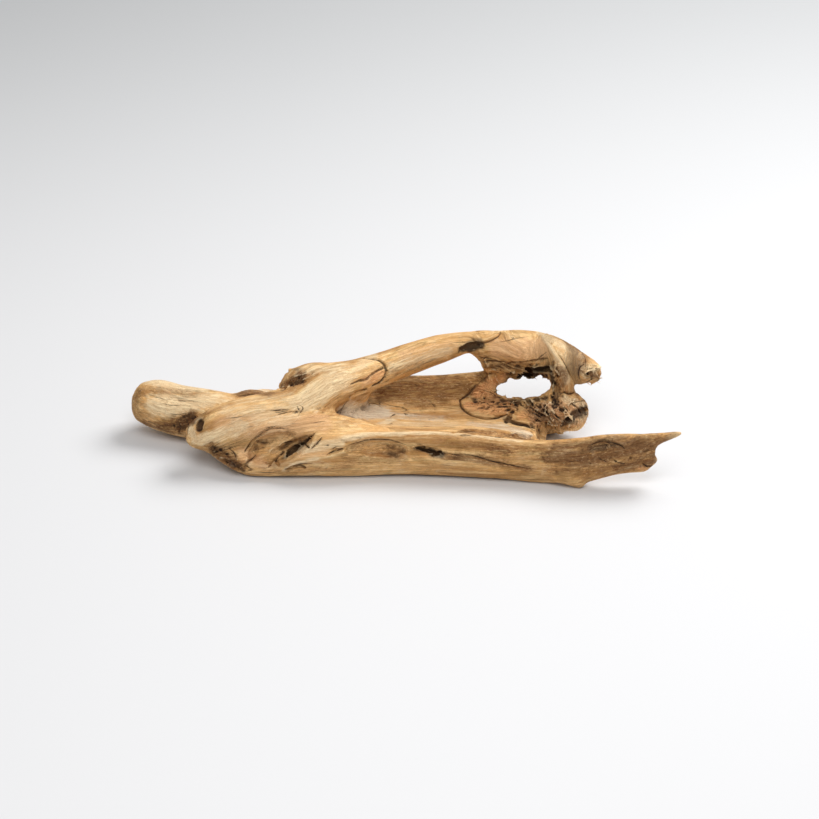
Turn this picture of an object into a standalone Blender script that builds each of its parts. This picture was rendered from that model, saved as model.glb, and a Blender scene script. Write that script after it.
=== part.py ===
"""A piece of driftwood: a weathered root base with a limb arching over its open trough.

One natural solid, in metres, +Z up, lying on the plane Z = 0 with its length along X. The front wall and
its thin tail are at -Y, the arching limb is at +Y. Every limb of the wood is a tapering sweep of elliptical
rings through a few stations. The hollows are sweeps of the same kind, cut out of the grown-together limbs.
The trough is hollowed first, so that its hollow leaves the limbs above it whole.
"""

import math

import bmesh
import bpy
from mathutils import Vector

# Driving dimensions: the rings of a sweep, then the voxels that grow the sweeps together, the smoothing of
# the skin, the share of its faces that is kept, and the thickness that the smoothing takes off again.
RING_SIDES = 20
RINGS_PER_SPAN = 4
CAP_RINGS = 3
CAP_REACH = 0.7
GROW_VOXEL = 0.0030
SKIN_VOXEL = 0.0024
SKIN_SMOOTHING = 8
KEPT_FACES = 0.10
SKIN_ALLOWANCE = 0.0010
WOOD_COLOUR = (0.52, 0.33, 0.16, 1.0)
WOOD_ROUGHNESS = 0.72
UP = Vector((0.0, 0.0, 1.0))
BACK = Vector((0.0, 1.0, 0.0))

# Stations of a limb: x, y, z of its centre, half its width and half its height there. The width is level
# and the height upright, except in an upright limb, whose width runs along X and whose height runs along Y.
STUB = [
    (-0.280, 0.042, 0.037, 0.024, 0.024),
    (-0.268, 0.042, 0.034, 0.027, 0.027),
    (-0.250, 0.038, 0.030, 0.028, 0.027),
    (-0.230, 0.032, 0.029, 0.028, 0.028),
    (-0.206, 0.022, 0.034, 0.026, 0.025),
    (-0.180, 0.011, 0.038, 0.022, 0.022),
    (-0.150, 0.002, 0.037, 0.020, 0.020),
]
ARCHING_LIMB = [
    (-0.221, -0.034, 0.037, 0.014, 0.014),
    (-0.208, -0.032, 0.044, 0.017, 0.018),
    (-0.192, -0.027, 0.049, 0.019, 0.021),
    (-0.168, -0.022, 0.055, 0.021, 0.021),
    (-0.138, -0.013, 0.056, 0.023, 0.022),
    (-0.108, -0.004, 0.059, 0.025, 0.024),
    (-0.078, 0.010, 0.074, 0.024, 0.024),
    (-0.050, 0.022, 0.078, 0.020, 0.020),
    (-0.018, 0.035, 0.083, 0.017, 0.018),
    (0.010, 0.045, 0.090, 0.016, 0.017),
    (0.042, 0.052, 0.098, 0.014, 0.016),
    (0.070, 0.055, 0.105, 0.012, 0.012),
]
HEAD = [
    (0.072, 0.054, 0.106, 0.011, 0.011),
    (0.088, 0.054, 0.104, 0.015, 0.014),
    (0.108, 0.052, 0.101, 0.018, 0.017),
    (0.135, 0.049, 0.101, 0.021, 0.019),
    (0.162, 0.047, 0.095, 0.021, 0.019),
    (0.187, 0.044, 0.084, 0.018, 0.016),
    (0.204, 0.042, 0.076, 0.013, 0.013),
    (0.212, 0.040, 0.074, 0.010, 0.010),
]
NECK = [
    (0.101, 0.052, 0.101, 0.011, 0.013),
    (0.104, 0.058, 0.078, 0.014, 0.013),
    (0.107, 0.062, 0.050, 0.015, 0.013),
]
JAW = [
    (0.098, 0.049, 0.084, 0.011, 0.010),
    (0.124, 0.044, 0.083, 0.011, 0.009),
    (0.152, 0.041, 0.082, 0.009, 0.007),
]
BACK_SHEET = [
    (0.105, 0.072, 0.053, 0.008, 0.008),
    (0.128, 0.074, 0.057, 0.008, 0.009),
    (0.154, 0.072, 0.060, 0.008, 0.010),
    (0.175, 0.064, 0.062, 0.010, 0.012),
]
BACK_SHEET_TOP = [
    (0.105, 0.070, 0.074, 0.008, 0.014),
    (0.128, 0.070, 0.078, 0.008, 0.014),
    (0.154, 0.067, 0.080, 0.008, 0.014),
    (0.174, 0.060, 0.078, 0.010, 0.014),
]
COLUMN = [
    (0.165, 0.040, 0.100, 0.014, 0.012),
    (0.173, 0.037, 0.084, 0.016, 0.012),
    (0.175, 0.033, 0.064, 0.013, 0.012),
    (0.176, 0.028, 0.044, 0.016, 0.015),
]
LUMP = [
    (0.082, 0.040, 0.036, 0.014, 0.006),
    (0.103, 0.033, 0.036, 0.019, 0.011),
    (0.130, 0.027, 0.036, 0.024, 0.015),
    (0.157, 0.023, 0.037, 0.026, 0.018),
    (0.177, 0.022, 0.038, 0.026, 0.019),
    (0.192, 0.024, 0.036, 0.020, 0.018),
]
FOOT = [
    (0.159, 0.042, 0.014, 0.016, 0.016),
    (0.183, 0.028, 0.025, 0.015, 0.014),
    (0.193, 0.026, 0.024, 0.014, 0.014),
]
TROUGH = [
    (-0.163, -0.018, 0.028, 0.028, 0.020),
    (-0.110, 0.002, 0.027, 0.048, 0.026),
    (-0.055, 0.008, 0.024, 0.057, 0.022),
    (0.000, 0.011, 0.023, 0.060, 0.021),
    (0.055, 0.012, 0.023, 0.058, 0.022),
    (0.100, 0.008, 0.022, 0.058, 0.021),
    (0.130, 0.003, 0.020, 0.054, 0.018),
    (0.148, 0.000, 0.018, 0.040, 0.014),
]
BACK_RIM = [
    (-0.080, 0.047, 0.036, 0.014, 0.014),
    (-0.045, 0.056, 0.041, 0.015, 0.014),
    (0.000, 0.060, 0.042, 0.016, 0.014),
    (0.045, 0.060, 0.043, 0.016, 0.013),
    (0.088, 0.062, 0.047, 0.015, 0.013),
    (0.120, 0.060, 0.048, 0.011, 0.011),
]
BACK_FOOT = [
    (-0.050, 0.042, 0.018, 0.014, 0.014),
    (0.010, 0.052, 0.016, 0.014, 0.016),
    (0.088, 0.054, 0.016, 0.014, 0.016),
    (0.138, 0.050, 0.018, 0.013, 0.016),
]
BACK_WALL = [
    (0.043, 0.050, 0.037, 0.016, 0.012),
    (0.068, 0.052, 0.040, 0.016, 0.015),
    (0.088, 0.052, 0.042, 0.015, 0.016),
    (0.102, 0.048, 0.036, 0.014, 0.014),
]
SADDLE = [
    (-0.199, -0.026, 0.029, 0.014, 0.014),
    (-0.172, -0.033, 0.031, 0.015, 0.018),
    (-0.145, -0.035, 0.038, 0.018, 0.020),
    (-0.108, -0.033, 0.044, 0.021, 0.019),
    (-0.078, -0.030, 0.047, 0.019, 0.015),
    (-0.050, -0.031, 0.046, 0.014, 0.009),
    (-0.012, -0.036, 0.044, 0.008, 0.004),
]
WEB = [
    (-0.090, 0.002, 0.057, 0.016, 0.016),
    (-0.062, 0.016, 0.055, 0.014, 0.014),
    (-0.043, 0.028, 0.057, 0.012, 0.012),
]
FRONT_WALL = [
    (-0.166, -0.050, 0.010, 0.009, 0.010),
    (-0.148, -0.051, 0.014, 0.011, 0.014),
    (-0.128, -0.052, 0.019, 0.012, 0.019),
    (-0.108, -0.053, 0.024, 0.012, 0.023),
    (-0.055, -0.052, 0.026, 0.012, 0.026),
    (0.000, -0.050, 0.027, 0.012, 0.026),
    (0.052, -0.053, 0.028, 0.012, 0.027),
    (0.104, -0.058, 0.025, 0.011, 0.025),
    (0.148, -0.064, 0.025, 0.010, 0.026),
    (0.190, -0.071, 0.031, 0.009, 0.028),
    (0.221, -0.072, 0.038, 0.008, 0.026),
    (0.252, -0.071, 0.041, 0.007, 0.024),
    (0.265, -0.071, 0.046, 0.006, 0.018),
]
TAIL_TIP = [
    (0.257, -0.072, 0.054, 0.006, 0.011),
    (0.275, -0.070, 0.058, 0.005, 0.006),
    (0.297, -0.069, 0.064, 0.003, 0.003),
]
TAIL_SPUR = [
    (0.242, -0.072, 0.028, 0.006, 0.013),
    (0.260, -0.071, 0.021, 0.005, 0.005),
]
TAIL_HEEL = [
    (0.162, -0.070, 0.019, 0.008, 0.014),
    (0.180, -0.074, 0.012, 0.007, 0.011),
    (0.193, -0.077, 0.003, 0.004, 0.005),
]
WEDGE = [
    (-0.209, -0.032, 0.033, 0.011, 0.011),
    (-0.192, -0.040, 0.027, 0.012, 0.012),
    (-0.177, -0.046, 0.019, 0.013, 0.013),
    (-0.161, -0.048, 0.016, 0.014, 0.015),
    (-0.140, -0.048, 0.017, 0.014, 0.017),
    (-0.108, -0.043, 0.019, 0.016, 0.020),
]
LOW_BUMP = [
    (-0.178, 0.020, 0.050, 0.010, 0.010),
    (-0.162, 0.022, 0.050, 0.012, 0.014),
    (-0.126, 0.022, 0.046, 0.014, 0.015),
]
HIGH_BUMP = [
    (-0.123, 0.016, 0.070, 0.009, 0.009),
    (-0.108, 0.020, 0.079, 0.012, 0.014),
    (-0.088, 0.020, 0.081, 0.014, 0.016),
    (-0.066, 0.022, 0.074, 0.014, 0.015),
]
TWIG = [
    (-0.116, 0.028, 0.084, 0.005, 0.005),
    (-0.102, 0.026, 0.080, 0.007, 0.007),
]
BASE_LIMBS = [TROUGH, BACK_RIM, BACK_FOOT, BACK_WALL, FRONT_WALL]
LEVEL_LIMBS = [
    STUB, ARCHING_LIMB, HEAD, JAW, BACK_SHEET, BACK_SHEET_TOP, LUMP, FOOT, SADDLE, WEB,
    TAIL_TIP, TAIL_SPUR, TAIL_HEEL, WEDGE, LOW_BUMP, HIGH_BUMP, TWIG,
]
UPRIGHT_LIMBS = [NECK, COLUMN]

# Hollows, with the same stations as the limbs.
TROUGH_HOLLOW = [
    (-0.068, 0.008, 0.060, 0.010, 0.008),
    (-0.042, 0.006, 0.066, 0.038, 0.028),
    (0.020, 0.006, 0.077, 0.060, 0.043),
    (0.075, 0.006, 0.077, 0.058, 0.042),
    (0.120, -0.004, 0.066, 0.040, 0.034),
    (0.158, -0.024, 0.060, 0.024, 0.026),
]
WINDOW = [
    (0.132, 0.012, 0.071, 0.026, 0.009),
    (0.138, 0.112, 0.014, 0.028, 0.011),
]
FRONT_HOLLOW = [
    (-0.054, -0.070, 0.043, 0.008, 0.005),
    (-0.030, -0.068, 0.042, 0.012, 0.008),
    (-0.006, -0.066, 0.040, 0.012, 0.008),
    (0.011, -0.068, 0.041, 0.009, 0.006),
]
SLIT = [
    (0.014, -0.064, 0.040, 0.009, 0.004),
    (0.029, -0.062, 0.036, 0.012, 0.004),
    (0.045, -0.067, 0.035, 0.007, 0.003),
]
LEAF = [
    (-0.157, -0.057, 0.028, 0.009, 0.010),
    (-0.140, -0.061, 0.040, 0.013, 0.014),
    (-0.120, -0.060, 0.048, 0.012, 0.011),
    (-0.102, -0.058, 0.054, 0.007, 0.006),
]
GASH = [
    (-0.144, -0.056, 0.019, 0.008, 0.003),
    (-0.120, -0.054, 0.031, 0.014, 0.007),
    (-0.096, -0.050, 0.045, 0.010, 0.004),
]
UNDERSIDE = [
    (-0.120, -0.008, -0.004, 0.020, 0.010),
    (-0.050, -0.002, -0.004, 0.030, 0.014),
    (0.050, -0.004, -0.004, 0.034, 0.016),
    (0.130, -0.008, -0.002, 0.032, 0.020),
]
HOLLOWS = [WINDOW, FRONT_HOLLOW, SLIT, LEAF, GASH, UNDERSIDE]


def curve_point(knots, span, t):
    """The point a share t along one span of a Catmull-Rom curve through the knots."""
    last = len(knots) - 1
    a, b, c, d = (knots[min(max(span + k, 0), last)] for k in (-1, 0, 1, 2))
    return [
        0.5 * (2 * q + (r - p) * t + (2 * p - 5 * q + 4 * r - s) * t * t + (3 * q - p - 3 * r + s) * t**3)
        for p, q, r, s in zip(a, b, c, d)
    ]


def smooth_stations(stations):
    """The stations with more between them, on one smooth curve."""
    fine = [
        curve_point(stations, span, step / RINGS_PER_SPAN)
        for span in range(len(stations) - 1)
        for step in range(RINGS_PER_SPAN)
    ]
    return fine + [list(stations[-1])]


def ring_of(bm, centre, side, top, width, height):
    """One elliptical ring of vertices."""
    turns = (2 * math.pi * k / RING_SIDES for k in range(RING_SIDES))
    return [bm.verts.new(centre + side * width * math.cos(a) + top * height * math.sin(a)) for a in turns]


def add_limb(bm, stations, allowance, upright):
    """Sweeps the rings through the stations and rounds both ends."""
    fine = smooth_stations(stations)
    centres = [Vector(s[:3]) for s in fine]
    rings = []
    for k, station in enumerate(fine):
        width, height = (half + allowance for half in station[3:])
        along = (centres[min(k + 1, len(fine) - 1)] - centres[max(k - 1, 0)]).normalized()
        side = along.cross(BACK if upright else UP).normalized()
        top = side.cross(along)
        if k == 0:
            rings += capped_end(bm, centres[0], -along, side, top, width, height)[::-1]
        rings.append(ring_of(bm, centres[k], side, top, width, height))
        if k == len(fine) - 1:
            rings += capped_end(bm, centres[-1], along, side, top, width, height)
    for near, far in zip(rings, rings[1:]):
        for k in range(RING_SIDES):
            n = (k + 1) % RING_SIDES
            bm.faces.new((near[k], near[n], far[n], far[k]))
    bm.faces.new(rings[0][::-1])
    bm.faces.new(rings[-1])


def capped_end(bm, centre, outward, side, top, width, height):
    """Shrinking rings that round an end of a limb."""
    reach = outward * CAP_REACH * min(width, height)
    turns = (0.47 * math.pi * (k + 1) / CAP_RINGS for k in range(CAP_RINGS))
    caps = ((reach * math.sin(a), math.cos(a)) for a in turns)
    return [ring_of(bm, centre + shift, side, top, width * kept, height * kept) for shift, kept in caps]


def swept_object(name, level, upright=(), allowance=0.0):
    """One object that holds the limbs as separate closed sweeps, each thicker by the allowance."""
    bm = bmesh.new()
    for stations in level:
        add_limb(bm, stations, allowance, upright=False)
    for stations in upright:
        add_limb(bm, stations, allowance, upright=True)
    bmesh.ops.recalc_face_normals(bm, faces=bm.faces)
    mesh = bpy.data.meshes.new(name)
    bm.to_mesh(mesh)
    bm.free()
    made = bpy.data.objects.new(name, mesh)
    bpy.context.scene.collection.objects.link(made)
    return made


def remesh(target, name, voxel):
    """Grows overlapping sweeps together into one smoothly shaded skin."""
    modifier = target.modifiers.new(name, "REMESH")
    modifier.mode = "VOXEL"
    modifier.voxel_size = voxel
    modifier.use_smooth_shade = True


def boolean(target, name, other, operation):
    """Joins the other shape to the target, or cuts it out, and keeps the other out of the render."""
    other.hide_render = True
    other.display_type = "WIRE"
    modifier = target.modifiers.new(name, "BOOLEAN")
    modifier.operation = operation
    modifier.solver = "EXACT"
    modifier.object = other


def cut(target, name, cutter):
    """Takes the cutter's shape out of the target."""
    boolean(target, name, cutter, "DIFFERENCE")


def floor_block():
    """A block whose top face planes off the lowest points, where the wood has worn flat."""
    bm = bmesh.new()
    bmesh.ops.create_cube(bm, size=1.0)
    mesh = bpy.data.meshes.new("floor_block")
    bm.to_mesh(mesh)
    bm.free()
    block = bpy.data.objects.new("floor_block", mesh)
    block.location = (0.0, 0.0, -0.5)
    bpy.context.scene.collection.objects.link(block)
    return block


def weathered_wood():
    """The bare, sun-bleached wood."""
    material = bpy.data.materials.new("weathered_wood")
    material.use_nodes = True
    shader = material.node_tree.nodes["Principled BSDF"]
    shader.inputs["Base Color"].default_value = WOOD_COLOUR
    shader.inputs["Roughness"].default_value = WOOD_ROUGHNESS
    shader.inputs["Metallic"].default_value = 0.0
    return material


def driftwood():
    """The whole piece of wood."""
    wood = swept_object("driftwood", BASE_LIMBS, allowance=SKIN_ALLOWANCE)
    remesh(wood, "base_grows", GROW_VOXEL)
    cut(wood, "open_trough", swept_object("trough_hollow", [TROUGH_HOLLOW]))
    limbs = swept_object("limbs", LEVEL_LIMBS, UPRIGHT_LIMBS, SKIN_ALLOWANCE)
    remesh(limbs, "limbs_grow", GROW_VOXEL)
    boolean(wood, "limbs_join", limbs, "UNION")
    hollows = swept_object("hollows", HOLLOWS)
    remesh(hollows, "join_hollows", GROW_VOXEL)
    cut(wood, "weather_out", hollows)
    remesh(wood, "skin", SKIN_VOXEL)
    smooth = wood.modifiers.new("wear_smooth", "SMOOTH")
    smooth.iterations = SKIN_SMOOTHING
    thin = wood.modifiers.new("fewer_faces", "DECIMATE")
    thin.ratio = KEPT_FACES
    cut(wood, "worn_flat", floor_block())
    wood.data.materials.append(weathered_wood())
    return wood


def main():
    """Clears the scene and makes the wood."""
    for obj in list(bpy.data.objects):
        bpy.data.objects.remove(obj)
    driftwood()


main()
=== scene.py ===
"""A piece of driftwood: a weathered root base with a limb arching over its open trough.

The wood is one piece. Its solid is taken from the frame, turned into a volume of signed distances, smoothed,
gouged and torn there, and skinned again. Checks, stains, wear, painted shade and painted highlights are laid
out on a sheet that stands across the wood, in millimetres, and dropped from the sheet onto the wood.
"""

import logging
import math
from dataclasses import dataclass, field
from enum import Enum
from typing import ClassVar

import bpy
import numpy as np
import openvdb
from mathutils import Matrix, Vector
from mathutils.bvhtree import BVHTree

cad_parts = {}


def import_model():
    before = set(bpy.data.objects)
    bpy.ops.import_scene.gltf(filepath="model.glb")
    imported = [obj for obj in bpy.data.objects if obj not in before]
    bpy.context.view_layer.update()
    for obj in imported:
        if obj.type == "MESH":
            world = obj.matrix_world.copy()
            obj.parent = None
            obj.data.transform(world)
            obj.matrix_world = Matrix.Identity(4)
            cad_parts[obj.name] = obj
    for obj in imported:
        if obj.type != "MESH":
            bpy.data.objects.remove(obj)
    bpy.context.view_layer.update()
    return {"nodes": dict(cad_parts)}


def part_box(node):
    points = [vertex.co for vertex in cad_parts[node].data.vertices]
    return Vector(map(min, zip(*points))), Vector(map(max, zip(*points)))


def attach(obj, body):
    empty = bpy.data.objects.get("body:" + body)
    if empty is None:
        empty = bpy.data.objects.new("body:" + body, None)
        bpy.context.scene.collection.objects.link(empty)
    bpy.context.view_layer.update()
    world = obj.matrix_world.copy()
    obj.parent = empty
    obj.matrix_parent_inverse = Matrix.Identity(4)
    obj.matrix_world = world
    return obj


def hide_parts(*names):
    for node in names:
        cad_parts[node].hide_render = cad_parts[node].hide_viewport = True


log = logging.getLogger("driftwood")

MM = 0.001
NODE = "driftwood"
BODY = "root"
SLOT = "weathered_wood"
VIEW_DISTANCE = 2400.0
VIEW_ELEVATION = math.radians(30.0)
AIM_SHIFT = (9.0, 2.0, -10.0)

# The crack attribute far from any crack: its distance to one side, its distance and its half width.
NO_CRACK = (9.0, 9.0, 0.3)

# The stretch of each kind of relief along and across the grain, in cells for each millimetre.
ROLLING = (0.02, 0.07, 0.07)
GROOVED = (0.018, 0.2, 0.2)
CRAGGED = (0.14, 0.32, 0.32)
PATCHED = (0.012, 0.04, 0.04)

# The spacing of the points along each kind of path, in millimetres.
CHECK_STEP = 1.5
STROKE_STEP = 2.0
TEAR_STEP = 3.0
BORE_STEP = 4.0
PATCH_STEP = 4.0
GUIDE_STEP = 13.0

Colour = tuple[float, float, float, float]
Point = tuple[float, float]
Spot = tuple[float, float, float]


def linear(red: int, green: int, blue: int) -> Colour:
    """A colour given in display values from 0 to 255, as the linear colour that a shader takes.

    Args:
        red: The red display value.
        green: The green display value.
        blue: The blue display value.

    Returns:
        The linear colour with full alpha.
    """
    shares = (value / 255 for value in (red, green, blue))
    return (*(s / 12.92 if s <= 0.04045 else ((s + 0.055) / 1.055) ** 2.4 for s in shares), 1.0)


class Side(Enum):
    """The side of the wood that a mark is laid out from."""

    FRONT = 1
    BACK = -1


class Tone(Enum):
    """A colouring or weathering of the wood, or shade or highlight painted onto it, by the attribute and the
    channel that carry it.
    """

    # Pale, bleached wood, and painted highlights along the ridges, the lip, the head and the stub's middle.
    PALE = ("tone_light", 0)
    PINK = ("tone_light", 1)
    GREY = ("tone_light", 2)
    # Olive stain, and painted shade on the stub's edges and under the limb.
    OLIVE = ("tone_dark", 0)
    # Brown stain, and painted shade on the stub's lower edge, where it meets the arm, in a hollow and on the
    # column.
    BROWN = ("tone_dark", 1)
    # Painted shade: near-black colour laid into recesses, pits, slits, the gash and the underside, where
    # shade falls.
    DARK = ("tone_dark", 2)
    ORANGE = ("tone_worn", 0)
    ROUGH = ("tone_worn", 1)
    FRAY = ("tone_worn", 2)


@dataclass(frozen=True)
class Check:
    """A drying crack, or a dark line of painted shade drawn like one: half its width at both ends and its
    depth, along points of the layout sheet.
    """

    name: str
    start: float
    end: float
    depth: float
    path: tuple[Point, ...]
    side: Side = Side.FRONT


@dataclass(frozen=True)
class Stroke:
    """A gouge or a ridge: its radii, how far its centre lies under the skin, its blend and its roughness."""

    name: str
    radii: tuple[float, ...]
    sink: float
    blend: float
    rough: float
    path: tuple[Point, ...]
    side: Side = Side.FRONT


@dataclass(frozen=True)
class Limb:
    """Wood added or bored away along points of the wood's own space: its radii, blend and roughness."""

    name: str
    radii: tuple[float, ...]
    blend: float
    rough: float
    path: tuple[Spot, ...]


@dataclass(frozen=True)
class Patch:
    """A stained or worn area, or an area of painted shade or highlight: its radii and strength along points
    of the layout sheet.
    """

    radii: tuple[float, ...]
    strength: float
    path: tuple[Point, ...]
    side: Side = Side.FRONT


@dataclass(frozen=True)
class Tear:
    """A torn area: its radii, the height and spacing of its ridges, and the number of its pits."""

    radii: tuple[float, ...]
    height: float
    size: float
    pits: int
    path: tuple[Point, ...]
    side: Side = Side.FRONT


@dataclass(frozen=True)
class Guide:
    """A line that the grain follows, and the reach within which it leads."""

    name: str
    reach: float
    path: tuple[Spot, ...]
    upright: bool = False


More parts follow.
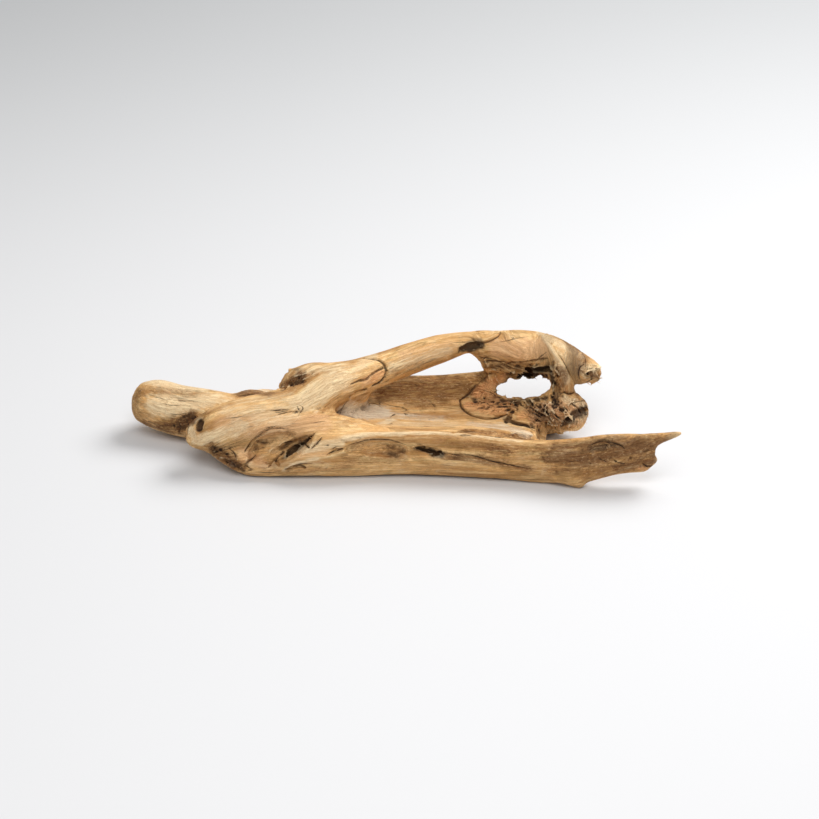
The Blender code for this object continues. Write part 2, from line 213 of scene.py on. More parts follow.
CHECKS: tuple[Check, ...] = (
    Check("ring_check", 0.5, 0.8, 1.6,
          ((-41, 101), (-33, 101), (-24, 99), (-18.5, 94), (-16, 87), (-17.5, 81), (-22, 74), (-30, 70))),
    Check("ring_check_branch", 1.0, 0.5, 1.8,
          ((-53, 72.5), (-45, 76), (-38, 77), (-30.5, 83), (-23, 88), (-16, 91))),
    Check("chip_edge", 1.0, 0.5, 1.5, ((-52, 60), (-46, 64), (-38, 66))),
    # Painted shade: a dark line in the concave corner where the limb meets the trough floor.
    Check("limb_root_shade_line", 0.35, 0.3, 0.6, ((-69, 35), (-65, 44), (-61, 51), (-53, 60))),
    Check("collar_check", 0.5, 1.2, 2.0,
          ((108, 130), (106, 126), (97, 120), (87, 117), (76, 116), (69, 112), (64, 108))),
    Check("head_line_top", 0.3, 0.25, 0.5, ((107, 118), (121, 121.5), (141, 125))),
    Check("head_line_low", 0.45, 0.4, 0.8, ((82, 103), (90, 101), (100, 100))),
    Check("jaw_split_left", 0.7, 1.0, 1.8, ((103.5, 91.5), (112, 92.5), (121, 95), (129, 95))),
    Check("jaw_split_upper", 1.4, 0.8, 3.0, ((129, 95), (138, 96), (148, 97.5), (158, 100))),
    Check("jaw_split_rise", 0.35, 0.3, 0.7, ((147, 98), (152.5, 102.5), (157, 106))),
    Check("jaw_split_lower", 1.0, 1.4, 3.0, ((90.5, 83.5), (101, 83), (113, 83), (123, 84.5), (134, 84))),
    Check("jaw_grain_high", 0.5, 0.5, 1.2, ((88, 97), (100, 97), (112, 96))),
    Check("jaw_grain_low", 0.6, 0.5, 1.4, ((91.5, 90.5), (105, 90), (118, 88), (130, 88))),
    Check("torn_edge_upper", 0.9, 0.9, 1.8, ((92.5, 80.5), (85, 75), (78.5, 68.5), (73, 62), (65.5, 56.5))),
    Check("torn_edge_lower", 1.1, 0.7, 2.0,
          ((64, 55.5), (65.5, 49), (71, 43), (80.5, 38), (92.5, 35), (104.5, 36), (114.5, 39))),
    Check("torn_line_high", 0.4, 0.4, 0.8, ((87, 66.5), (99, 63), (108, 58), (116.5, 54.5))),
    Check("torn_line_low", 0.4, 0.4, 0.8, ((75, 55.5), (88, 54.5), (99, 50), (112, 49))),
    # A real split, whose end runs on as a painted shadow line below the torn part.
    Check("torn_foot_split_and_shadow", 1.2, 1.0, 2.2, ((121, 41.5), (116.5, 34), (126.5, 29.5), (137, 28), (146, 23))),
    Check("floor_check_long", 0.8, 1.7, 2.6,
          ((55.5, 20), (73, 22), (90.5, 22), (107, 19), (123, 17), (137, 17), (149, 13))),
    Check("floor_check_low", 0.5, 0.7, 1.3, ((66.5, 16.5), (82, 17.5), (97, 16), (110, 15))),
    Check("floor_check_high", 0.7, 1.2, 1.9, ((99, 23.5), (113, 20), (127.5, 20.5), (142, 17.5))),
    Check("floor_check_end", 0.4, 0.5, 0.9, ((116.5, 14.5), (132, 14), (145, 12.5))),
    Check("floor_curl", 0.4, 0.3, 0.6, ((-35, 48), (-34, 52), (-26, 51), (-20.5, 46))),
    Check("floor_stain_edge", 0.35, 0.25, 0.4,
          ((-22, 53.5), (-10, 49), (3, 47), (10, 41.5), (23, 40), (35, 41.5))),
    Check("floor_nick", 0.7, 0.6, 0.9, ((-11, 37.5), (-6.5, 40.5))),
    Check("floor_nick_low", 0.4, 0.4, 0.6, ((-17.5, 28.5), (-11, 29.5))),
    Check("floor_curl_right", 0.4, 0.35, 0.6, ((3, 44.5), (5, 39), (10, 35))),
    Check("floor_wave", 0.35, 0.3, 0.5, ((30.5, 54.5), (36, 49), (37, 42.5))),
    Check("gash_tip", 1.0, 0.4, 2.4, ((-109, 7), (-102.5, 11.5), (-95, 18.5))),
    Check("gash_tail", 0.7, 0.6, 1.5, ((-144, -16.5), (-137.5, -10), (-128.5, -2))),
    Check("fold_nick_long", 0.9, 0.5, 1.6, ((-97, 3), (-92.5, 7), (-88, 13))),
    Check("fold_nick_short", 0.7, 0.5, 1.2, ((-104.5, 6.5), (-100, 2.5))),
    Check("wall_nick", 0.4, 1.2, 1.8, ((-80.5, -5), (-74, -1.5), (-65.5, 1))),
    Check("leaf_edge", 0.9, 0.5, 1.6,
          ((-170, 0), (-165.5, 6), (-158, 14), (-150.5, 20), (-143, 24.5), (-133, 25), (-125.5, 23.5))),
    Check("corner_check", 1.0, 0.5, 2.0, ((-173, -19.5), (-168, -13), (-161, -7.5), (-156, -2))),
    Check("corner_check_low", 0.7, 0.4, 1.2, ((-175.5, -22), (-171, -17.5), (-163.5, -20.5))),
    Check("lip_shadow", 0.4, 0.5, 0.9, ((-127.5, -21), (-119, -17.5), (-110, -14.5), (-99, -14))),
    Check("lower_edge_check", 0.35, 0.3, 0.6, ((-161, -23), (-147, -24.5), (-132, -23.5))),
    Check("wall_line_short", 0.4, 0.35, 0.6, ((49, -2.5), (58, -4.5), (65.5, -5.5))),
    Check("wall_line_long", 0.7, 0.35, 1.2,
          ((71, -5), (84, -7.5), (98, -12), (113, -15), (128.5, -18.5), (140.5, -20.5))),
    # Painted shade: a faint dark line along the upper rim of the front hollow.
    Check("hollow_rim_shade", 0.4, 0.4, 0.7,
          ((-61, 4), (-48, 8.5), (-34, 11.5), (-16, 11.5), (-3, 8.5), (10, 4.5))),
    Check("arm_scratch_first", 0.5, 0.4, 0.6, ((-142, 43.5), (-133, 44), (-124, 45))),
    Check("arm_scratch_hook", 0.5, 0.4, 0.6, ((-120, 42.5), (-115.5, 41), (-112, 43.5), (-113, 47))),
    Check("arm_scratch_low", 0.35, 0.3, 0.4, ((-140.5, 37), (-127.5, 41), (-111, 43.5))),
    Check("arm_scratch_far", 0.3, 0.2, 0.4, ((-191, 35), (-180, 36), (-168, 39))),
    Check("arm_scratch_cross", 0.4, 0.3, 0.5, ((-110, 49), (-107, 46), (-111, 40))),
    Check("nub_check_left", 0.5, 0.4, 0.9, ((-244, 32.5), (-241, 25), (-243, 17.5))),
    Check("nub_check_middle", 0.5, 0.4, 0.9, ((-236.5, 36), (-233, 28.5), (-234, 19.5))),
    Check("nub_check_right", 0.4, 0.4, 0.7, ((-230, 40), (-228, 34), (-231, 26))),
    Check("under_check_high", 0.6, 0.4, 1.0, ((-206, 1), (-196, -2), (-187.5, -8.5))),
    Check("under_check_low", 0.6, 0.4, 1.0, ((-195, -12), (-185, -14), (-177.5, -23))),
    Check("under_check_right", 0.5, 0.4, 0.9, ((-188.5, 3), (-182, -3), (-180, -12))),
    Check("tail_knot_arc", 0.6, 1.0, 1.4,
          ((205, 4.5), (212.5, 8), (221, 10), (231, 8), (239, 5.5), (243, 2.5))),
    Check("tail_knot_fold", 0.5, 0.6, 1.0, ((208, -2), (215, 3), (223.5, 6), (233, 4.5))),
    Check("tail_swirl", 0.8, 0.4, 0.9, ((223.5, 2), (227, -5.5), (233, -12), (242, -14.5), (251, -15))),
    Check("tail_swirl_low", 0.5, 0.4, 0.7, ((206, -5.5), (217, -10), (225.5, -14))),
    Check("tail_notch_check", 0.8, 0.6, 1.2, ((264, -15), (268, -18), (272.5, -17.5))),
    Check("column_edge_check", 0.6, 0.5, 1.2, ((172, 60), (176.5, 63), (184, 62), (188.5, 63))),
    Check("column_line", 0.35, 0.3, 0.5, ((170, 107), (176.5, 98), (182, 87), (186, 75))),
    Check("beak_check_arc", 0.5, 0.4, 0.9, ((196, 75), (193.5, 83), (195, 90.5), (198, 93))),
    Check("beak_check_short", 0.4, 0.4, 0.7, ((204, 91.5), (203, 86))),
    Check("beak_check_low", 0.4, 0.35, 0.7, ((198, 72.5), (206, 76), (216, 78.5))),
    Check("beak_check_high", 0.7, 0.6, 1.0, ((207, 89), (211.5, 89))),
    Check("lump_split_tall", 0.8, 0.6, 1.6, ((158, 28.5), (161, 37), (167, 44.5), (169, 53.5))),
    Check("lump_split_left", 0.7, 0.5, 1.4, ((147, 30.5), (151.5, 41.5), (159, 50))),
    Check("lump_split_right", 0.7, 0.5, 1.2, ((173, 35), (176.5, 43.5), (180, 50))),
    Check("lump_split_top", 0.6, 0.5, 1.2, ((185, 50), (193, 54.5), (201.5, 55.5))),
    Check("stub_check_long", 0.3, 0.2, 0.3, ((-262.5, 52), (-252, 49.5), (-238.5, 49))),
    Check("stub_check_high", 0.3, 0.2, 0.3, ((-273.5, 59), (-265, 58), (-256, 54.5))),
    Check("stub_check_low", 0.3, 0.2, 0.3, ((-256, 41.5), (-245, 39), (-232, 41.5))),
    Check("stub_nick", 0.5, 0.4, 0.6, ((-278, 31.5), (-274.5, 30.5))),
    Check("bump_line", 0.4, 0.35, 0.6, ((-180, 59), (-169, 61), (-157, 62.5))),
    Check("back_rim_check", 0.9, 0.5, 1.6, ((-60, 4), (-20, 6), (30, 4), (70, 8)), Side.BACK),
    Check("back_foot_check", 0.6, 0.9, 1.4, ((-40, -16), (10, -20), (60, -18), (110, -14)), Side.BACK),
    Check("back_stub_check", 0.8, 0.4, 1.2, ((-270, 14), (-245, 10), (-215, 14), (-190, 20)), Side.BACK),
    Check("back_limb_check", 0.5, 0.7, 1.2, ((-60, 44), (-20, 54), (20, 58), (60, 62)), Side.BACK),
    Check("back_head_check", 0.9, 0.5, 1.6, ((95, 64), (125, 66), (155, 62), (180, 54)), Side.BACK),
    Check("back_bump_check", 0.7, 0.5, 1.2, ((-125, 46), (-105, 50), (-85, 48)), Side.BACK),
    Check("back_lump_check", 0.8, 0.6, 1.4, ((150, 24), (165, 20), (185, 22), (200, 18)), Side.BACK),
    Check("back_tail_check", 0.6, 0.4, 1.0, ((200, 62), (225, 66), (255, 72), (275, 78)), Side.BACK),
)

GOUGES: tuple[Stroke, ...] = (
    Stroke("gash", (3.2, 6.0, 5.4, 2.8), 4.4, 0.8, 0.5,
           ((-126.5, -8.5), (-121, -2), (-114.5, 3), (-108, 6.5))),
    Stroke("gash_foot", (2.0, 1.5), 1.0, 0.8, 0.3, ((-147, -14), (-142, -13.5))),
    Stroke("gash_foot_right", (1.4, 1.6), 0.8, 0.8, 0.3, ((-137.5, -10), (-134, -15))),
    Stroke("lip_hollow", (1.4, 2.6, 2.8, 1.6), 1.0, 0.8, 0.3,
           ((-125.5, -21), (-117.5, -18.5), (-111, -17.5), (-105.5, -19.5))),
    Stroke("wall_slit", (1.2, 2.8, 3.0, 2.6, 1.0), 3.2, 0.8, 0.3,
           ((15, 3), (23, 1), (31.5, -0.5), (40, -2), (46, -4.5))),
    Stroke("wall_hollow", (6.0, 9.0, 9.0, 7.0), -4.0, 2.0, 0.5, ((-56, 1), (-34, 1), (-16, 0), (0, -1.5))),
    Stroke("wall_rot", (2.0, 3.0, 2.0), 1.5, 1.5, 0.5, ((-14, -1), (-9, -3), (-5, -5))),
    Stroke("leaf_dish", (7.0, 10.0, 10.0, 7.0), -4.2, 0.6, 0.4,
           ((-160, -2), (-150, 6), (-138, 12), (-124, 16))),
    Stroke("floor_groove", (1.6, 3.0, 2.4), 0.6, 2.0, 0.4, ((70, 20), (104, 19), (146, 13))),
    Stroke("wall_flute", (4.0, 6.0, 4.0), -4.6, 3.0, 0.3, ((60, -2), (100, -9), (150, -18))),
    Stroke("wall_hollow_far", (4.0, 4.0), -2.0, 2.0, 0.4, ((-55.5, 0), (-44.5, 1))),
    Stroke("nub_pit", (4.2, 3.4), 1.6, 1.2, 0.4, ((-220, 30.5), (-221, 25))),
    Stroke("nub_hole", (1.3, 1.3), 0.6, 0.5, 0.0, ((-248.5, 26), (-248.5, 25))),
    Stroke("bump_hollow", (2.6, 3.4, 2.8), 0.4, 1.5, 0.6, ((-127.5, 68.5), (-119, 73), (-109, 77.5))),
    Stroke("collar_hollow", (2.8, 4.4, 3.0), 1.4, 1.2, 0.5, ((66.5, 110), (74, 113), (83, 115.5))),
    Stroke("jaw_recess", (5.0, 6.5, 6.0), 4.5, 1.4, 0.8, ((132, 82), (148, 87), (160, 88))),
    Stroke("beak_knot", (2.8, 2.6), 1.6, 0.8, 0.2, ((204, 84), (204.5, 83))),
    Stroke("beak_hole", (1.8, 1.8), 1.0, 0.5, 0.0, ((210, 88), (210.5, 88))),
    Stroke("tail_knot", (4.0, 5.5, 4.0), -2.4, 2.5, 0.4, ((206, 0), (213.5, 2), (221, 4.5))),
    Stroke("tail_dish", (9.0, 10.0, 9.0), -7.0, 4.0, 0.4, ((212.5, -6.5), (230, -5.5), (254, -4))),
    Stroke("lump_groove", (2.4, 3.4, 3.2, 2.0), 2.6, 1.2, 0.6,
           ((176.5, 23), (182, 30.5), (188.5, 37), (196, 42.5), (206, 45))),
    Stroke("lump_pit_high", (1.8, 1.8), 0.6, 0.8, 0.4, ((180, 47), (181, 44.5))),
    Stroke("lump_pit_low", (1.8, 1.8), 0.6, 0.8, 0.4, ((161, 36), (162, 34))),
    Stroke("torn_pit_low", (2.4, 2.2), 0.8, 0.8, 0.5, ((114.5, 31.5), (119, 36))),
    Stroke("torn_pit_high", (1.8, 1.8), 0.6, 0.8, 0.4, ((119, 41.5), (121, 43.5))),
    Stroke("arm_trough_step", (2.0, 3.0, 2.0), 0.2, 2.0, 0.3, ((-55, 58), (-48, 62), (-38, 65))),
    Stroke("back_knot", (5.0, 6.0), 0.5, 2.5, 0.6, ((20, -8), (30, -7)), Side.BACK),
    Stroke("back_limb_knot", (3.0, 3.4), 0.8, 1.5, 0.5, ((0, 56), (5, 57)), Side.BACK),
    Stroke("back_groove", (3.0, 5.0, 3.0), -1.5, 2.5, 0.5, ((-50, -4), (0, -2), (60, -2)), Side.BACK),
    Stroke("back_head_hollow", (4.0, 5.5, 4.0), -1.5, 2.5, 0.6, ((110, 56), (130, 58), (150, 54)), Side.BACK),
    Stroke("back_arm_groove", (3.0, 4.5, 3.0), -1.5, 2.5, 0.5,
           ((-180, 36), (-150, 42), (-125, 46)), Side.BACK),
)

RIDGES: tuple[Stroke, ...] = (
    Stroke("wall_ridge", (1.2, 1.6, 1.6, 1.2), 0.9, 2.0, 0.2,
           ((-66.5, 10), (-53, 15), (-23, 19), (31.5, 19.5), (80.5, 16), (124, 11))),
    Stroke("lip", (1.0, 1.5, 1.3, 1.0), 0.4, 1.2, 0.2,
           ((-130, -22), (-120, -17), (-111, -13), (-99, -11.5), (-83, -7.5), (-63, -2))),
    Stroke("head_ridge", (1.8, 2.2, 1.6), 0.8, 2.5, 0.2,
           ((152.5, 126.5), (160, 115.5), (168, 103.5), (175.5, 93.5), (180, 83))),
    Stroke("leaf_rim", (1.2, 1.5, 1.2), 0.5, 1.5, 0.2, ((-170, 3), (-163.5, 11.5), (-153.5, 20), (-145, 26))),
    Stroke("beak_brow", (1.2, 1.2), 0.4, 1.0, 0.2, ((206, 97), (213.5, 92.5))),
    Stroke("gash_lip", (1.0, 1.3, 0.8), 0.3, 1.0, 0.2, ((-112, 10), (-104.5, 12.5), (-99, 15))),
    Stroke("gash_splinter", (0.8, 1.1, 0.7), 0.0, 0.8, 0.2, ((-140.5, -15), (-135, -8.5), (-128.5, -3))),
    Stroke("nub_swelling", (3.0, 3.4), 1.6, 2.5, 0.2, ((-226, 22), (-222, 14))),
    Stroke("jaw_lip", (1.0, 1.2, 0.8), 0.2, 1.0, 0.3, ((92, 87), (108, 86.5), (124, 89))),
    Stroke("back_rim_ridge", (2.0, 2.6, 2.0), 1.0, 3.0, 0.3,
           ((-60, 12), (0, 14), (60, 14), (95, 18)), Side.BACK),
)

GROWTHS: tuple[Limb, ...] = (
    Limb("neck_web", (5, 6, 5), 3.0, 0.4, ((80, 53, 94), (90, 54, 85), (94, 56, 75))),
    Limb("beak_chin", (9, 8, 6), 3.0, 0.6, ((186, 40, 71), (196, 39, 69), (202, 39, 69))),
    Limb("beak_top", (3, 3, 3), 2.0, 0.4, ((190, 46, 97), (205, 44, 89), (213, 41, 83))),
    Limb("beak_splinter", (1.6, 0.8), 1.0, 0.0, ((212, 41, 80), (219, 40, 79))),
    Limb("bump_root", (7, 6), 3.0, 0.6, ((-126, 20, 70), (-122, 24, 78))),
    Limb("twig_tip", (3.4, 2.8), 1.5, 0.4, ((-108, 26, 84), (-120, 26, 86))),
)

BORES: tuple[Limb, ...] = (
    Limb("window_left", (7, 7), 2.0, 2.6, ((110, 4, 73), (113, 112, 14))),
    Limb("window_right", (6, 7), 2.0, 2.6, ((157, 8, 78), (158, 112, 18))),
    Limb("window_top_left", (4.4, 4.4), 1.0, 2.4, ((121, 8, 83), (121, 112, 23))),
    Limb("window_top", (4.0, 4.0), 1.0, 2.4, ((136, 8, 85), (136, 112, 25))),
    Limb("window_top_right", (5.0, 5.0), 1.0, 2.4, ((151, 8, 84), (151, 112, 24))),
    Limb("window_sill_left", (4.4, 4.4), 1.0, 2.4, ((119, 20, 59), (119, 112, 6))),
    Limb("window_sill", (5.0, 5.0), 1.0, 2.4, ((134, 20, 59), (134, 112, 6))),
    Limb("window_sill_right", (4.4, 4.4), 1.0, 2.4, ((149, 20, 61), (149, 112, 8))),
    Limb("tail_end", (12, 12), 1.5, 0.9, ((280, -92, 41), (280, -50, 41))),
    Limb("floor_end", (9, 9), 3.0, 0.6, ((152, -30, 36), (158, 0, 26))),
)

TEARS: tuple[Tear, ...] = (
    Tear((20, 26, 20), 8.5, 9.0, 40, ((150, 42), (173, 42), (194, 42))),
    Tear((9, 11, 9), 3.0, 4.5, 16, ((148, 26), (172, 22), (192, 28))),
    Tear((12, 13), 2.4, 4.5, 16, ((84, 55), (118, 50))),
    Tear((9, 10, 8), 2.4, 4.5, 12, ((84, 72), (92, 80), (108, 78))),
    Tear((8, 9, 8), 3.0, 4.5, 14, ((-130, 68), (-114, 75), (-100, 82))),
    Tear((9, 9), 2.0, 4.0, 8, ((-240, 22), (-230, 36))),
    Tear((8, 10, 8), 2.7, 4.5, 16, ((-206, -1), (-188, -10), (-174, -21))),
    Tear((8, 9, 8), 3.2, 4.5, 12, ((168, 92), (167, 76), (167, 60))),
    Tear((9, 10), 3.4, 4.0, 16, ((204, 82), (216, 84))),
    Tear((8, 10, 9), 3.0, 4.5, 14, ((95, 90), (122, 90), (146, 92))),
    Tear((6, 7, 6), 2.6, 4.0, 8, ((272, 4), (264, -8), (262, -20))),
    Tear((6, 7, 6), 2.0, 4.0, 8, ((200, -22), (222, -17), (250, -20))),
    Tear((9, 11, 9), 2.4, 4.5, 14, ((-158, -4), (-142, 4), (-120, 8))),
    Tear((5, 6, 6, 5), 3.2, 3.6, 12, ((102, 66), (118, 54), (140, 52), (160, 62))),
    Tear((5, 6, 6, 5), 3.2, 3.6, 8, ((104, 74), (122, 80), (142, 80), (160, 80))),
    Tear((6, 9, 7), 1.8, 4.0, 10, ((-58, 2), (-28, 1), (-2, -1))),
    Tear((5, 6), 1.6, 4.0, 6, ((14, 2), (46, -4))),
    Tear((8, 9, 8), 1.8, 4.5, 8, ((90, 22), (120, 18), (146, 14))),
    Tear((12, 13, 10), 1.6, 4.5, 10, ((205, 0), (225, -4), (255, -8))),
    Tear((5, 6), 2.0, 4.0, 6, ((66, 109), (88, 114))),
    Tear((20, 24, 20), 4.0, 6.0, 30, ((150, 20), (175, 18), (195, 20)), Side.BACK),
    Tear((14, 14), 2.4, 6.0, 12, ((110, 50), (165, 46)), Side.BACK),
    Tear((10, 12), 2.4, 6.0, 10, ((-120, 50), (-95, 54)), Side.BACK),
    Tear((12, 14, 12), 1.8, 6.0, 14, ((-60, -14), (0, -18), (80, -16)), Side.BACK),
)

